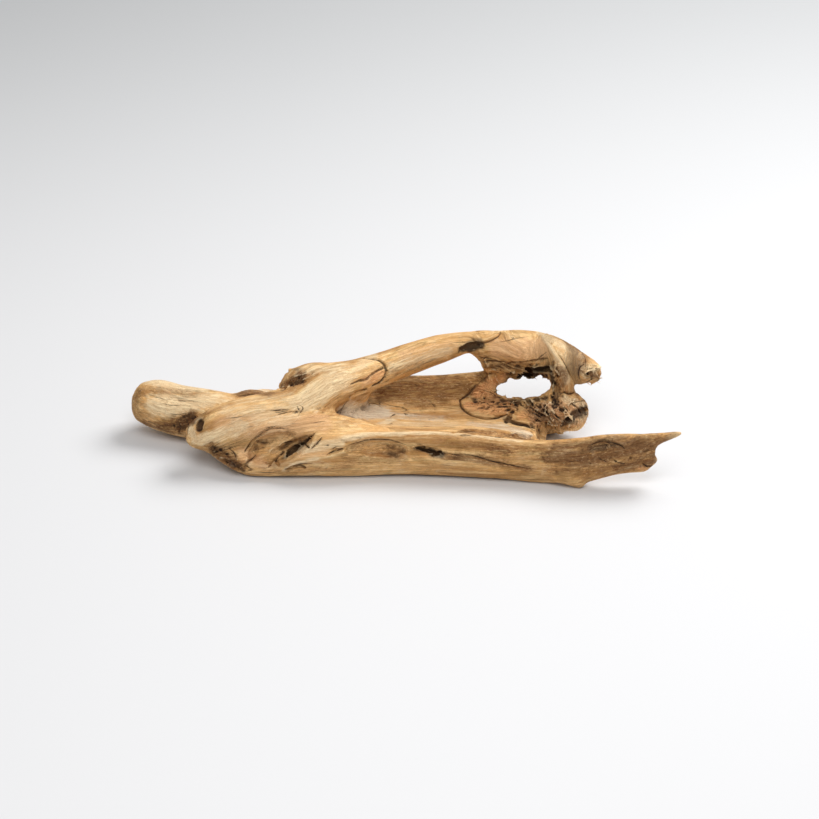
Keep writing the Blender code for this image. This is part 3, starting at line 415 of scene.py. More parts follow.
PATCHES: dict[Tone, tuple[Patch, ...]] = {
    Tone.PALE: (
        # Painted highlight: the lit middle of the stub.
        Patch((14, 17, 14, 9), 0.85, ((-266, 50), (-250, 50), (-232, 52), (-206, 56))),
        Patch((9, 8), 0.6, ((-213.5, 60), (-188.5, 55.5))),
        Patch((7.5, 9, 7.5), 0.75, ((-219, 11), (-195, 17.5), (-172, 27))),
        Patch((8, 9), 0.5, ((-159, 35), (-126, 33))),
        Patch((6.5, 6.5, 5.5), 0.8, ((-110, 1), (-88, 5.5), (-66.5, 8.5))),
        # Painted highlight along the wall's ridge, in two stretches.
        Patch((4, 4.5, 4), 0.95, ((-61, 13), (-28, 19.5), (31.5, 20.5))),
        Patch((3.5, 3.5, 3.5), 0.7, ((31.5, 20.5), (80.5, 16.5), (130, 11))),
        Patch((6.5, 8, 6.5), 0.5, ((-23, 28.5), (20.5, 29.5), (70, 28.5))),
        Patch((4.5, 4), 1.0, ((-22, 30.5), (-10, 34))),
        # Painted highlight along the raised lip.
        Patch((2.3, 2.5, 2.3), 0.9, ((-128.5, -22), (-113, -14), (-90.5, -8.5))),
        # Painted highlight on the head's top and down its ridge.
        Patch((6.5, 8, 6.5), 0.7, ((151.5, 128.5), (169, 120), (195, 104.5))),
        Patch((4, 4, 4.5), 0.75, ((157, 123), (169, 102.5), (182, 76))),
        Patch((5.5, 6.5), 0.7, ((180, 56.5), (199.5, 52))),
        Patch((6.5, 6.5), 0.6, ((186, 28.5), (201.5, 35))),
        Patch((9, 9), 0.5, ((-110, 87), (-61, 91.5))),
        Patch((7.5, 7.5), 0.4, ((-175.5, 54.5), (-121, 59))),
        Patch((5.5, 4.5), 0.8, ((-230, 24), (-225.5, 10))),
        Patch((11, 14, 13), 0.8, ((-112, 50), (-90, 62), (-62, 78))),
        Patch((9, 10, 9), 0.5, ((-190, 44), (-150, 44), (-115, 40))),
        Patch((8, 9), 0.7, ((200, 88), (212, 86))),
        Patch((9, 9), 0.5, ((178, 104), (192, 92))),
        Patch((7, 8), 0.6, ((-30, 104), (-60, 80))),
        Patch((8, 9, 8), 0.6, ((-8, 90), (20, 98), (50, 108))),
        Patch((18, 20), 0.9, ((-275, 24), (-230, 24)), Side.BACK),
        Patch((10, 12), 0.5, ((100, 68), (180, 60)), Side.BACK),
    ),
    Tone.PINK: (
        Patch((14, 16, 13), 0.7, ((-192, 27), (-137, 28.5), (-88, 32.5))),
        Patch((11, 15, 13), 0.7, ((105.5, 110), (130, 110), (151.5, 112))),
        Patch((9, 9), 0.5, ((4, 103.5), (53, 113))),
        Patch((5.5, 6.5), 0.7, ((-39, 75), (-25, 82))),
        Patch((9, 9), 0.6, ((-170, -5.5), (-151.5, -13))),
        Patch((6.5, 6.5), 0.6, ((-110, -3), (-83, -2))),
        Patch((15, 20, 16), 1.0, ((154, 42), (175, 40), (196, 42))),
        Patch((12, 12), 0.5, ((-60, 50), (60, 64)), Side.BACK),
    ),
    Tone.GREY: (
        Patch((12, 14, 11), 1.0, ((-60, 42.5), (-42.5, 41.5), (-20.5, 40.5))),
        Patch((7.5, 7.5), 0.5, ((-1, 38), (42.5, 35))),
        Patch((7.5, 8.5, 7.5), 0.6, ((75, 29.5), (108, 26), (138, 19.5))),
        Patch((12, 14), 0.6, ((-200, 26), (-150, 34)), Side.BACK),
    ),
    Tone.OLIVE: (
        # The trough's back wall under the limb: olive stain, darkened as painted shade towards the limb.
        Patch((17, 22, 20), 0.9, ((-17, 68.5), (21, 64), (62, 70))),
        Patch((11, 12), 0.75, ((15, 54.5), (42.5, 54.5))),
        Patch((7.5, 8.5), 0.7, ((75, 79.5), (90.5, 80.5))),
        # Painted shade along the limb's lower side.
        Patch((5.5, 5.5), 0.5, ((-6.5, 85), (42.5, 98))),
        Patch((6.5, 6.5, 6.5), 0.5, ((53, 7.5), (108, 1), (157, -2))),
        Patch((7.5, 7.5), 0.6, ((260.5, 11), (295, 17.5))),
        Patch((4.5, 4.5), 0.5, ((-61, -10), (4, -11))),
        Patch((5.5, 5.5), 0.6, ((-137, 15), (-121, 17.5))),
        # Painted shade: the stub's darker left end.
        Patch((8, 9, 8), 0.6, ((-287, 62), (-292, 46), (-282, 30))),
        # Painted shade along the stub's upper edge.
        Patch((7, 7), 0.5, ((-262, 66), (-225, 63))),
        # Where the stub meets the arm: olive-brown stain, darkened further as painted shade.
        Patch((9, 11, 9), 0.9, ((-262, 27), (-240, 29), (-218, 38))),
        Patch((20, 22), 0.6, ((-60, 10), (90, 12)), Side.BACK),
    ),
    Tone.BROWN: (
        Patch((16, 24, 24, 17), 0.75, ((172, -6), (206, -5.5), (244, -4.5), (268, -4))),
        Patch((7, 9, 8), 0.35, ((-50, 2), (-25, 2), (-3, 0))),
        Patch((4.5, 4.5), 0.7, ((42.5, -5), (66.5, -8.5))),
        Patch((9, 11, 9), 0.3, ((-158, -2), (-143, 6.5), (-123, 10))),
        Patch((9, 9), 0.7, ((-204, -2), (-182, -17.5))),
        # Painted shade: the hollow below the high bump, darkened to brown.
        Patch((7.5, 8.5), 0.9, ((-130, 70), (-110, 78.5))),
        Patch((7, 7, 6.5), 0.4, ((92.5, 91.5), (116.5, 90.5), (138, 90.5))),
        Patch((8.5, 7.5), 0.7, ((-175.5, 62), (-145, 63))),
        Patch((8, 9), 0.3, ((151.5, 41.5), (169, 46))),
        # Painted shade along the stub's lower edge.
        Patch((6.5, 6.5), 0.7, ((-278, 28.5), (-252, 19.5))),
        Patch((7.5, 7.5), 0.8, ((-243, 22), (-230, 37))),
        # Painted shade on the column's left side, which turns away from the light.
        Patch((7.5, 6.5), 0.7, ((173, 73), (175.5, 85))),
        Patch((5.5, 5.5), 0.7, ((208, 83), (215, 80.5))),
        # Where the stub meets the arm: brown stain, darkened further as painted shade.
        Patch((5, 6, 5), 0.5, ((-268, 27), (-250, 21), (-236, 17))),
        Patch((6, 8, 6), 0.6, ((-256, 27), (-240, 25), (-226, 33))),
        Patch((4, 6, 4), 0.6, ((60, -6), (100, -13), (140, -20))),
        Patch((5, 7, 5), 0.35, ((-150, -19), (-110, -22), (-60, -17))),
        Patch((5, 5, 5), 0.6, ((70, 22), (104, 20), (140, 15))),
        Patch((5, 6), 0.5, ((92, 3), (118, -1))),
        Patch((24, 26), 0.7, ((-40, -10), (110, -10)), Side.BACK),
        Patch((18, 18), 0.6, ((140, 18), (200, 18)), Side.BACK),
        Patch((12, 14), 0.6, ((190, 66), (270, 76)), Side.BACK),
    ),
    # Painted shade: near-black in the recess above the window, on the column's shaded side, in the fold under
    # the head, the gash, the slit, pits, hollows and the underside.
    Tone.DARK: (
        Patch((8, 11, 10), 1.0, ((132, 81), (148, 86), (160, 89))),
        Patch((4.5, 4.5), 1.0, ((163.5, 91.5), (164.5, 72))),
        Patch((5.5, 6.5, 5.5), 1.0, ((67.5, 110), (75, 113), (86, 116))),
        # A knot that is dark of itself, lying in the rotted hollow, which also takes painted shade here.
        Patch((3.5, 3.5), 0.8, ((-13, -1), (-6.5, -4.5))),
        Patch((5, 5), 0.6, ((208, 3), (219, 3))),
        Patch((4, 4, 4), 0.8, ((110, 56.5), (132, 54.5), (157, 58))),
        Patch((5, 5), 0.3, ((-245, 30), (-232, 36))),
        Patch((5.5, 4.5), 0.7, ((114.5, 34), (127.5, 29.5))),
        Patch((4.5, 4.5), 0.6, ((169, 65.5), (167, 54.5))),
        Patch((5.5, 5.5), 0.6, ((-128.5, 67.5), (-114.5, 75))),
        Patch((4.5, 4.5), 0.6, ((-186, -14), (-174, -23))),
        Patch((3.3, 3.3), 0.6, ((-119, 89), (-111, 89))),
        Patch((6, 9.5, 7), 1.0, ((-126, -7), (-118, 0), (-107, 7))),
        Patch((4, 5.5, 4), 1.0, ((17, 2.5), (31.5, -0.5), (43, -3.5))),
        Patch((5.5, 5), 1.0, ((-220, 31), (-221, 25))),
        Patch((5, 6, 5), 0.9, ((178, 25), (190, 38), (204, 44))),
    ),
    Tone.ORANGE: (
        Patch((6.5, 8.5, 8.5), 1.0, ((73, 50), (90.5, 50), (110, 48))),
        Patch((6.5, 7.5, 6.5), 1.0, ((84, 62), (96, 71), (111, 78.5))),
        Patch((6.5, 6.5), 0.8, ((99, 61), (124, 51))),
        Patch((5.5, 6.5), 0.6, ((132, 39), (145, 47))),
        Patch((4.5, 4.5), 0.8, ((-29.5, 78.5), (-20.5, 84))),
        Patch((4.5, 4.5), 0.2, ((21, -19.5), (75, -22))),
        Patch((3.3, 3.3), 0.7, ((260.5, -19.5), (269, -20.5))),
    ),
    Tone.ROUGH: (
        Patch((18, 22, 18), 1.0, ((151.5, 43.5), (173, 43.5), (193, 41.5))),
        Patch((11, 12), 0.7, ((86, 54.5), (119, 49))),
        Patch((9, 9), 0.7, ((-241, 28.5), (-228, 35))),
        Patch((11, 12), 0.7, ((-201.5, -2), (-177.5, -17.5))),
        Patch((8.5, 8.5), 0.6, ((-125.5, 70), (-108, 78.5))),
        Patch((9, 9), 0.6, ((206, 85), (215, 83))),
        Patch((9, 9, 9), 0.5, ((95, 89), (119, 89), (138, 89))),
        Patch((7, 7), 0.5, ((169, 71), (173, 85))),
        Patch((16, 18), 0.7, ((150, 20), (195, 18)), Side.BACK),
        Patch((12, 14), 0.6, ((-20, -16), (80, -16)), Side.BACK),
    ),
    Tone.FRAY: (
        Patch((8, 8, 8), 1.0, ((150, 26), (176, 22), (200, 30))),
        Patch((6, 6), 1.0, ((206, 74), (217, 82))),
        Patch((6, 6, 6), 0.8, ((92, 82), (112, 82), (130, 86))),
        Patch((7, 8), 0.7, ((85, 56), (114, 50))),
        Patch((6, 6), 0.7, ((-126, 70), (-108, 78))),
        Patch((6, 6), 0.7, ((-200, -6), (-178, -20))),
    ),
}

GUIDES: tuple[Guide, ...] = (
    Guide("stub", 24, ((-300, 46, 40), (-250, 38, 30), (-205, 20, 36), (-150, 0, 42))),
    Guide("arm", 20, ((-225, -36, 34), (-170, -22, 54), (-108, -4, 60), (-78, 10, 74), (-18, 35, 83),
                      (42, 52, 98), (108, 53, 104))),
    Guide("head", 18, ((90, 53, 104), (135, 49, 101), (162, 46, 95), (190, 43, 82), (216, 40, 73))),
    Guide("front_wall", 20, ((-190, -44, 8), (-110, -53, 22), (0, -51, 27), (105, -58, 25),
                             (190, -71, 31), (300, -69, 56))),
    Guide("trough", 24, ((-110, 4, 24), (0, 16, 22), (100, 12, 22), (150, 6, 20))),
    Guide("back_rim", 16, ((-90, 48, 34), (0, 60, 34), (70, 61, 40), (120, 62, 46))),
    Guide("column", 13, ((168, 40, 104), (174, 36, 84), (176, 30, 58)), True),
    Guide("neck", 12, ((100, 53, 96), (104, 58, 76), (107, 62, 50)), True),
    Guide("lump", 20, ((160, 22, 60), (168, 18, 36), (172, 18, 12)), True),
)


class GrainNoise:
    """A smooth random field on a repeating lattice, the same for the same seed."""

    CELLS = 64
    LAYER_SHIFT = 17.3
    SHARPNESS = 1.6

    def __init__(self, seed: int) -> None:
        """Fills the lattice from the seed."""
        self.lattice = np.random.default_rng(seed).uniform(-1, 1, (self.CELLS,) * 3).astype(np.float32)

    def at(self, points: np.ndarray) -> np.ndarray:
        """The field at points.

        Args:
            points: Points in lattice cells, with x, y and z last.

        Returns:
            Values from -1 to 1, one for each point.
        """
        low = np.floor(points)
        share = (points - low).astype(np.float32)
        share = share * share * (3 - 2 * share)
        x0, y0, z0 = (low[..., k].astype(np.int32) % self.CELLS for k in range(3))
        x1, y1, z1 = ((v + 1) % self.CELLS for v in (x0, y0, z0))
        sx, sy, sz = (share[..., k] for k in range(3))
        grid = self.lattice

        def row(y: np.ndarray, z: np.ndarray) -> np.ndarray:
            """The field along the edge of the cells at y and z."""
            near = grid[x0, y, z]
            return near + (grid[x1, y, z] - near) * sx

        front = row(y0, z0) + (row(y1, z0) - row(y0, z0)) * sy
        back = row(y0, z1) + (row(y1, z1) - row(y0, z1)) * sy
        return front + (back - front) * sz

    def layered(self, points: np.ndarray, layers: int, ridged: bool = False) -> np.ndarray:
        """Several layers of the field, each half as large and half as strong as the one before.

        Args:
            points: Points in lattice cells.
            layers: How many layers are added up.
            ridged: Whether each layer is folded into sharp ridges.

        Returns:
            Values from about -1 to 1.
        """
        total = np.zeros(points.shape[:-1], np.float32)
        weight = 1.0
        for layer in range(layers):
            value = self.at(points * 2.0**layer + self.LAYER_SHIFT * layer)
            total += weight * (1 - 2 * np.abs(value) * self.SHARPNESS if ridged else value)
            weight *= 0.5
        return total / (2 - 2.0 ** (1 - layers))


def smooth_path(points: np.ndarray, step: float) -> tuple[np.ndarray, np.ndarray]:
    """A Catmull-Rom curve through points.

    Args:
        points: The points, one a row.
        step: The spacing of the new points along the curve.

    Returns:
        The new points, and the share of the way along at each.
    """
    ends = np.vstack([2 * points[0] - points[1], points, 2 * points[-1] - points[-2]])
    rows, shares = [], []
    spans = len(points) - 1
    for k in range(spans):
        p, q, r, s = ends[k : k + 4]
        count = max(2, int(np.linalg.norm(r - q) / step))
        for t in np.arange(count) / count:
            rows.append(0.5 * (2 * q + (r - p) * t + (2 * p - 5 * q + 4 * r - s) * t**2
                               + (3 * q - p - 3 * r + s) * t**3))
            shares.append((k + t) / spans)
    return np.array(rows + [points[-1]]), np.array(shares + [1.0])


def along(values: tuple[float, ...], shares: np.ndarray) -> np.ndarray:
    """Evenly spread values read at shares of the way along."""
    return np.interp(shares, np.linspace(0, 1, len(values)), values)


def tapered(start: float, end: float, shares: np.ndarray, bluntness: float, power: float) -> np.ndarray:
    """A crack's half width, which narrows towards both ends.

    Args:
        start: The half width at the start.
        end: The half width at the end.
        shares: Shares of the way along.
        bluntness: The share at each end over which it narrows no further.
        power: How soon it narrows, 0 for not at all.

    Returns:
        The half width at each share.
    """
    swell = np.sin(np.pi * np.clip(shares, bluntness, 1 - bluntness)) ** power
    return along((start, end), shares) * swell


def nearest_on_path(points: np.ndarray, path: np.ndarray) -> tuple[np.ndarray, np.ndarray, np.ndarray]:
    """The nearest place on a path for each point.

    Args:
        points: The points, one a row.
        path: The path's points, one a row.

    Returns:
        The distance, the segment's number and the share along that segment, for each point.
    """
    best = np.full(len(points), np.inf)
    segment = np.zeros(len(points), np.int32)
    share = np.zeros(len(points))
    for k, (start, end) in enumerate(zip(path, path[1:])):
        run = end - start
        t = np.clip((points - start) @ run / max(run @ run, 1e-9), 0, 1)
        gap = np.linalg.norm(points - start - t[:, None] * run, axis=1)
        closer = gap < best
        best[closer], segment[closer], share[closer] = gap[closer], k, t[closer]
    return best, segment, share


@dataclass
class LayoutSheet:
    """The sheet that marks are laid out on: it faces the viewer and passes through the frame's origin.

    Where a sight line misses the wood, the wood's nearest spot is looked for within search before and behind
    the viewing distance.
    """

    tree: BVHTree
    aim: np.ndarray
    search: float = 140.0
    search_step: float = 10.0

    def looking(self, side: Side) -> tuple[np.ndarray, np.ndarray]:
        """Where marks of a side are looked at from.

        Args:
            side: The side of the wood.

        Returns:
            The eye in millimetres, and the sheet's upward direction.
        """
        sight = np.array([0.0, side.value * math.cos(VIEW_ELEVATION), -math.sin(VIEW_ELEVATION)])
        upward = np.array([0.0, side.value * math.sin(VIEW_ELEVATION), math.cos(VIEW_ELEVATION)])
        return self.aim - VIEW_DISTANCE * sight, upward

    def drop(self, path: tuple[Point, ...], side: Side, step: float) -> tuple[np.ndarray, ...]:
        """Drops a path from the sheet onto the wood.

        Args:
            path: Points across and up the sheet, in millimetres.
            side: The side of the wood that the path is laid out from.
            step: The spacing of the dropped points.

        Returns:
            The points on the wood, the wood's normals there, and the share of the way along at each.
        """
        flat, shares = smooth_path(np.array(path, float), step)
        eye, upward = self.looking(side)
        spots, normals = [], []
        for across, up in flat:
            ray = np.array([across, 0.0, 0.0]) + up * upward - eye
            ray /= np.linalg.norm(ray)
            spot, normal = self.struck(eye, ray)
            spots.append(spot)
            normals.append(normal)
        return np.array(spots), np.array(normals), shares

    def struck(self, eye: np.ndarray, ray: np.ndarray) -> tuple[np.ndarray, np.ndarray]:
        """Where a sight line meets the wood, or the wood's nearest spot to it.

        Args:
            eye: Where the line starts.
            ray: Its unit direction.

        Returns:
            The spot and the wood's normal there.
        """
        hit, normal, _, _ = self.tree.ray_cast(Vector(eye), Vector(ray))
        if hit is None:
            reach = VIEW_DISTANCE + np.arange(-self.search, self.search + 1, self.search_step)
            found = [self.tree.find_nearest(Vector(eye + ray * far)) for far in reach]
            hit, normal, _, _ = min(found, key=lambda near: near[3])
        return np.array(hit), np.array(normal)


@dataclass
class WoodVolume:
    """The wood as signed distances in millimetres on a grid of voxels, less than 0 inside.

    The distances are kept up to band voxels from the skin, and margin voxels around the wood stay free.
    """

    BELL_REACH: ClassVar[float] = 2.5
    ROUGHNESS_CELL: ClassVar[float] = 3.5
    RIDGE_SHAPE: ClassVar[Spot] = (0.38, 1.0, 1.0)

    voxel: float = 1.15
    band: int = 8
    margin: int = 10
    low: np.ndarray = field(default_factory=lambda: np.zeros(3))
    cells: np.ndarray = field(default_factory=lambda: np.zeros((1, 1, 1), np.float32))

    def fill(self, points: np.ndarray, triangles: np.ndarray) -> None:
        """Reads a closed mesh into the grid.

        Args:
            points: The mesh's points in millimetres.
            triangles: The corners of its triangles.
        """
        self.low = np.floor(points.min(0) / self.voxel).astype(int) - self.margin
        high = np.ceil(points.max(0) / self.voxel).astype(int) + self.margin
        self.cells = np.zeros(high - self.low + 1, np.float32)
        grid = openvdb.FloatGrid.createLevelSetFromPolygons(
            points.astype(np.float32), triangles=triangles.astype(np.uint32),
            transform=openvdb.createLinearTransform(voxelSize=self.voxel), halfWidth=self.band)
        grid.copyToArray(self.cells, ijk=tuple(int(v) for v in self.low))

    def blurred(self, sigma: float) -> np.ndarray:
        """The grid smoothed by a bell curve.

        Args:
            sigma: The curve's width in millimetres.

        Returns:
            The smoothed grid.
        """
        spread = sigma / self.voxel
        reach = max(1, int(math.ceil(self.BELL_REACH * spread)))
        weights = np.exp(-0.5 * (np.arange(-reach, reach + 1) / spread) ** 2)
        weights /= weights.sum()
        cells = self.cells
        for axis in range(3):
            edges = [(reach, reach) if k == axis else (0, 0) for k in range(3)]
            padded = np.pad(cells, edges, mode="edge")
            count = cells.shape[axis]
            moved = (tuple(slice(k, k + count) if a == axis else slice(None) for a in range(3))
                     for k in range(len(weights)))
            cells = sum(np.float32(weight) * padded[where] for weight, where in zip(weights, moved))
        return cells

    def block(self, lowest: np.ndarray, highest: np.ndarray) -> tuple[tuple[slice, ...], np.ndarray]:
        """The part of the grid in a box.

        Args:
            lowest: The box's lowest corner in millimetres.
            highest: Its highest corner.

        Returns:
            The slices of the grid, and the points of its voxels with x, y and z last.
        """
        first = np.clip(np.floor(lowest / self.voxel).astype(int) - self.low, 0, self.cells.shape)
        last = np.clip(np.ceil(highest / self.voxel).astype(int) - self.low + 1, 0, self.cells.shape)
        axes = [(np.arange(a, b) + base) * self.voxel for a, b, base in zip(first, last, self.low)]
        points = np.stack(np.meshgrid(*axes, indexing="ij"), -1).astype(np.float32)
        return tuple(slice(a, b) for a, b in zip(first, last)), points

    def stroke(self, path: np.ndarray, radii: np.ndarray, blend: float, rough: float,
               noise: GrainNoise, adds: bool) -> None:
        """Adds or takes away wood along a path.

        Args:
            path: The path's points in millimetres.
            radii: The radius at each of them.
            blend: How softly the stroke meets the wood.
            rough: How uneven its surface is.
            noise: The unevenness.
            adds: Whether wood is added, and not taken away.
        """
        reach = radii.max() + 2 * blend + rough + 2 * self.voxel
        where, points = self.block(path.min(0) - reach, path.max(0) + reach)
        flat = points.reshape(-1, 3)
        gap, segment, share = nearest_on_path(flat, path)
        radius = radii[segment] + (radii[np.minimum(segment + 1, len(radii) - 1)] - radii[segment]) * share
        gap = gap - radius + rough * noise.layered(flat / self.ROUGHNESS_CELL, 2)
        old = self.cells[where].reshape(-1)
        cut = gap if adds else -gap
        sign = 1.0 if adds else -1.0
        mix = np.clip(0.5 + 0.5 * (cut - old) * sign / blend, 0, 1)
        new = cut + (old - cut) * mix - sign * blend * mix * (1 - mix)
        self.cells[where] = new.reshape(self.cells[where].shape)

    def tear(self, path: np.ndarray, radii: np.ndarray, height: float, size: float, noise: GrainNoise,
             grain: "GrainField") -> None:
        """Roughens the skin around a path into ridges and pits that run along the grain.

        Args:
            path: The path's points in millimetres.
            radii: How far the roughness reaches from each of them.
            height: How high the ridges are.
            size: How far apart they are.
            noise: The pattern of the ridges.
            grain: The lie of the wood's grain.
        """
        reach = radii.max()
        where, points = self.block(path.min(0) - reach, path.max(0) + reach)
        flat = points.reshape(-1, 3)
        block = self.cells[where].reshape(-1)
        inside = np.abs(block) < self.band * self.voxel
        gap, segment, _ = nearest_on_path(flat[inside], path)
        fade = np.clip(1.25 * (1 - gap / radii[segment]), 0, 1)
        lie = grain.coordinates(flat[inside]) / size * np.array(self.RIDGE_SHAPE)
        bend = 0.35 * noise.at(flat[inside] / (2.2 * size))[:, None]
        ridges = noise.layered(lie + bend, 3, ridged=True)
        block[inside] += (height * fade * (0.35 - 0.65 * ridges)).astype(np.float32)
        self.cells[where] = block.reshape(self.cells[where].shape)

    def trim(self, lowest: np.ndarray, highest: np.ndarray) -> None:
        """Cuts the wood back to a box.

        Args:
            lowest: The box's lowest corner in millimetres.
            highest: Its highest corner.
        """
        for axis in range(3):
            place = (np.arange(self.cells.shape[axis]) + self.low[axis]) * self.voxel
            beyond = np.maximum(lowest[axis] - place, place - highest[axis]).astype(np.float32)
            shape = [-1 if k == axis else 1 for k in range(3)]
            np.maximum(self.cells, beyond.reshape(shape), out=self.cells)

    def skin(self) -> tuple[np.ndarray, np.ndarray]:
        """The wood's surface.

        Returns:
            Its points in millimetres, and the corners of its four-sided faces, outwards.
        """
        limit = self.band * self.voxel
        grid = openvdb.FloatGrid(limit)
        grid.transform = openvdb.createLinearTransform(voxelSize=self.voxel)
        grid.copyFromArray(np.clip(self.cells, -limit, limit), ijk=tuple(int(v) for v in self.low))
        points, quads = grid.convertToQuads()
        points, quads = points.astype(np.float64), quads.astype(np.int64)
        a, b, c = (points[quads[:, k]] for k in range(3))
        if np.einsum("ij,ij->i", a, np.cross(b, c)).sum() < 0:
            quads = quads[:, ::-1]
        return largest_island(points, quads)

    def sample(self, cells: np.ndarray, points: np.ndarray) -> np.ndarray:
        """Reads a grid of this size between its voxels.

        Args:
            cells: The grid.
            points: Points in millimetres.

        Returns:
            The value at each point.
        """
        place = points / self.voxel - self.low
        low = np.clip(np.floor(place).astype(int), 0, np.array(cells.shape) - 2)
        share = np.clip(place - low, 0, 1)
        total = np.zeros(len(points))
        for corner in np.ndindex(2, 2, 2):
            weight = np.prod(np.where(corner, share, 1 - share), axis=1)
            total += weight * cells[tuple((low + corner).T)]
        return total


def largest_island(points: np.ndarray, faces: np.ndarray) -> tuple[np.ndarray, np.ndarray]:
    """Keeps the largest connected part of a surface.

    Args:
        points: The surface's points.
        faces: The corners of its faces.

    Returns:
        The points and faces of that part.
    """
    label = np.arange(len(points))
    while True:
        lowest = label[faces].min(1)
        new = label.copy()
        for k in range(faces.shape[1]):
            np.minimum.at(new, faces[:, k], lowest)
        new = new[new]
        if np.array_equal(new, label):
            break
        label = new
    kept = label == np.bincount(label).argmax()
    order = np.cumsum(kept) - 1
    return points[kept], order[faces[kept[faces[:, 0]]]]


class GrainField:
    """The lie of the grain: where a point is along the limb that it belongs to, and across it."""

    CORE = 0.6
    SOFTNESS = 0.25
    FALL = 5
    BACKWARD = -0.2

    def __init__(self, guides: tuple[Guide, ...]) -> None:
        """Smooths the guides.

        Args:
            guides: The guides.
        """
        self.guides = guides
        log.debug("grain along %s", ", ".join(guide.name for guide in guides))
        self.paths = [smooth_path(np.array(guide.path, float), GUIDE_STEP)[0] for guide in guides]

    def weights(self, points: np.ndarray) -> list[tuple[np.ndarray, np.ndarray, np.ndarray, np.ndarray]]:
        """How strongly each guide leads at points.

        Args:
            points: Points in millimetres.

        Returns:
            For each guide, its weight at the points, and the nearest segment, share and spot on it.
        """
        found = []
        for guide, path in zip(self.guides, self.paths):
            gap, segment, share = nearest_on_path(points, path)
            spot = path[segment] + (path[segment + 1] - path[segment]) * share[:, None]
            beyond = np.maximum(gap - self.CORE * guide.reach, 0)
            weight = 1 / (beyond + self.SOFTNESS * guide.reach) ** self.FALL
            found.append((weight, segment, share, spot))
        return found

    def coordinates(self, points: np.ndarray) -> np.ndarray:
        """Where points are along and across the grain.

        Args:
            points: Points in millimetres.

        Returns:
            The distance along the grain and two distances across it, for each point.
        """
        total = np.zeros((len(points), 3))
        sums = np.zeros(len(points))
        for (weight, segment, share, spot), guide, path in zip(self.weights(points), self.guides, self.paths):
            lengths = np.concatenate([[0], np.cumsum(np.linalg.norm(np.diff(path, axis=0), axis=1))])
            run = lengths[segment] + (lengths[segment + 1] - lengths[segment]) * share
            middle = path[len(path) // 2]
            level = points - spot + middle
            if guide.upright:
                lie = np.stack([run + path[0, 0], level[:, 0], level[:, 1]], 1)
            else:
                ahead = points[:, 0] - spot[:, 0]
                lie = np.stack([run + path[0, 0] + ahead, level[:, 1], level[:, 2]], 1)
            total += weight[:, None] * lie
            sums += weight
        return total / sums[:, None]

    def direction(self, points: np.ndarray) -> np.ndarray:
        """Which way the grain runs.

        Args:
            points: Points in millimetres.

        Returns:
            The grain's unit direction at each point, turned away from the stub.
        """
        total = np.zeros((len(points), 3))
        for (weight, segment, _, _), path in zip(self.weights(points), self.paths):
            run = path[segment + 1] - path[segment]
            run /= np.linalg.norm(run, axis=1)[:, None]
            total += weight[:, None] * run * np.where(run[:, :1] < self.BACKWARD, -1, 1)
        return total / np.maximum(np.linalg.norm(total, axis=1), 1e-9)[:, None]


@dataclass(frozen=True)
class Pattern:
    """Layered noise: its stretch and shift along the grain, its detail, roughness and warp."""

    stretch: Spot
    shift: float
    detail: float
    roughness: float = 0.55
    warp: float = 0.0


STREAKS = Pattern((0.02, 0.24, 0.24), 0.0, 6.0, 0.66, 0.4)
FIBRES = Pattern((0.045, 0.7, 0.7), 40.0, 4.0, 0.66, 0.25)
BANDS = Pattern((0.007, 0.09, 0.09), 9.0, 3.0, 0.5, 0.5)
BLOTCHES = Pattern((0.03, 0.06, 0.06), 71.0, 5.0, 0.66, 0.8)
SPECKLE = Pattern((0.3, 0.5, 0.5), 23.0, 4.0, 0.72, 0.3)
STAIN = Pattern((0.012, 0.05, 0.05), 130.0, 6.0, 0.7, 0.6)
WANDER = Pattern((0.4, 0.4, 0.4), 5.0, 2.0)
STRAND = Pattern((0.3, 0.3, 0.3), 60.0, 2.0)


class Field:
    """A socket of a shader tree. Operators on it add the Math nodes that work them out."""

    def __init__(self, shading: "Shading", socket: bpy.types.NodeSocket) -> None:
        """Keeps the tree and the socket."""
        self.shading = shading
        self.socket = socket

    def maths(self, operation: str, *others: "Field | float",
              first: "Field | float | None" = None) -> "Field":
        """One Math node on this value and others.

        Args:
            operation: The node's operation.
            others: The values after this one.
            first: A value that goes before this one.

        Returns:
            The node's value.
        """
        values = (self, *others) if first is None else (first, self)
        return self.shading.node("ShaderNodeMath", {"operation": operation}, dict(enumerate(values)))

    def __add__(self, other: "Field | float") -> "Field":
        """The sum."""
        return self.maths("ADD", other)

    __radd__ = __add__

    def __sub__(self, other: "Field | float") -> "Field":
        """The difference."""
        return self.maths("SUBTRACT", other)

    def __rsub__(self, other: float) -> "Field":
        """The difference from a number."""
        return self.maths("SUBTRACT", first=other)

    def __mul__(self, other: "Field | float") -> "Field":
        """The product."""
        return self.maths("MULTIPLY", other)

    __rmul__ = __mul__

    def __truediv__(self, other: "Field | float") -> "Field":
        """The quotient."""
        return self.maths("DIVIDE", other)

    def __abs__(self) -> "Field":
        """The value without its sign."""
        return self.maths("ABSOLUTE")

    def least(self, other: "Field | float") -> "Field":
        """The smaller of two values."""
        return self.maths("MINIMUM", other)

    def most(self, other: "Field | float") -> "Field":
        """The larger of two values."""
        return self.maths("MAXIMUM", other)

    def rise(self, low: float, high: float) -> "Field":
        """A smooth step.

        Args:
            low: The value at which the step is 0.
            high: The value at which it is 1, which may be the smaller one.

        Returns:
            The step, from 0 to 1.
        """
        if low > high:
            return 1 - self.rise(high, low)
        settings = {"interpolation_type": "SMOOTHSTEP"}
        return self.shading.node("ShaderNodeMapRange", settings, {0: self, 1: low, 2: high})


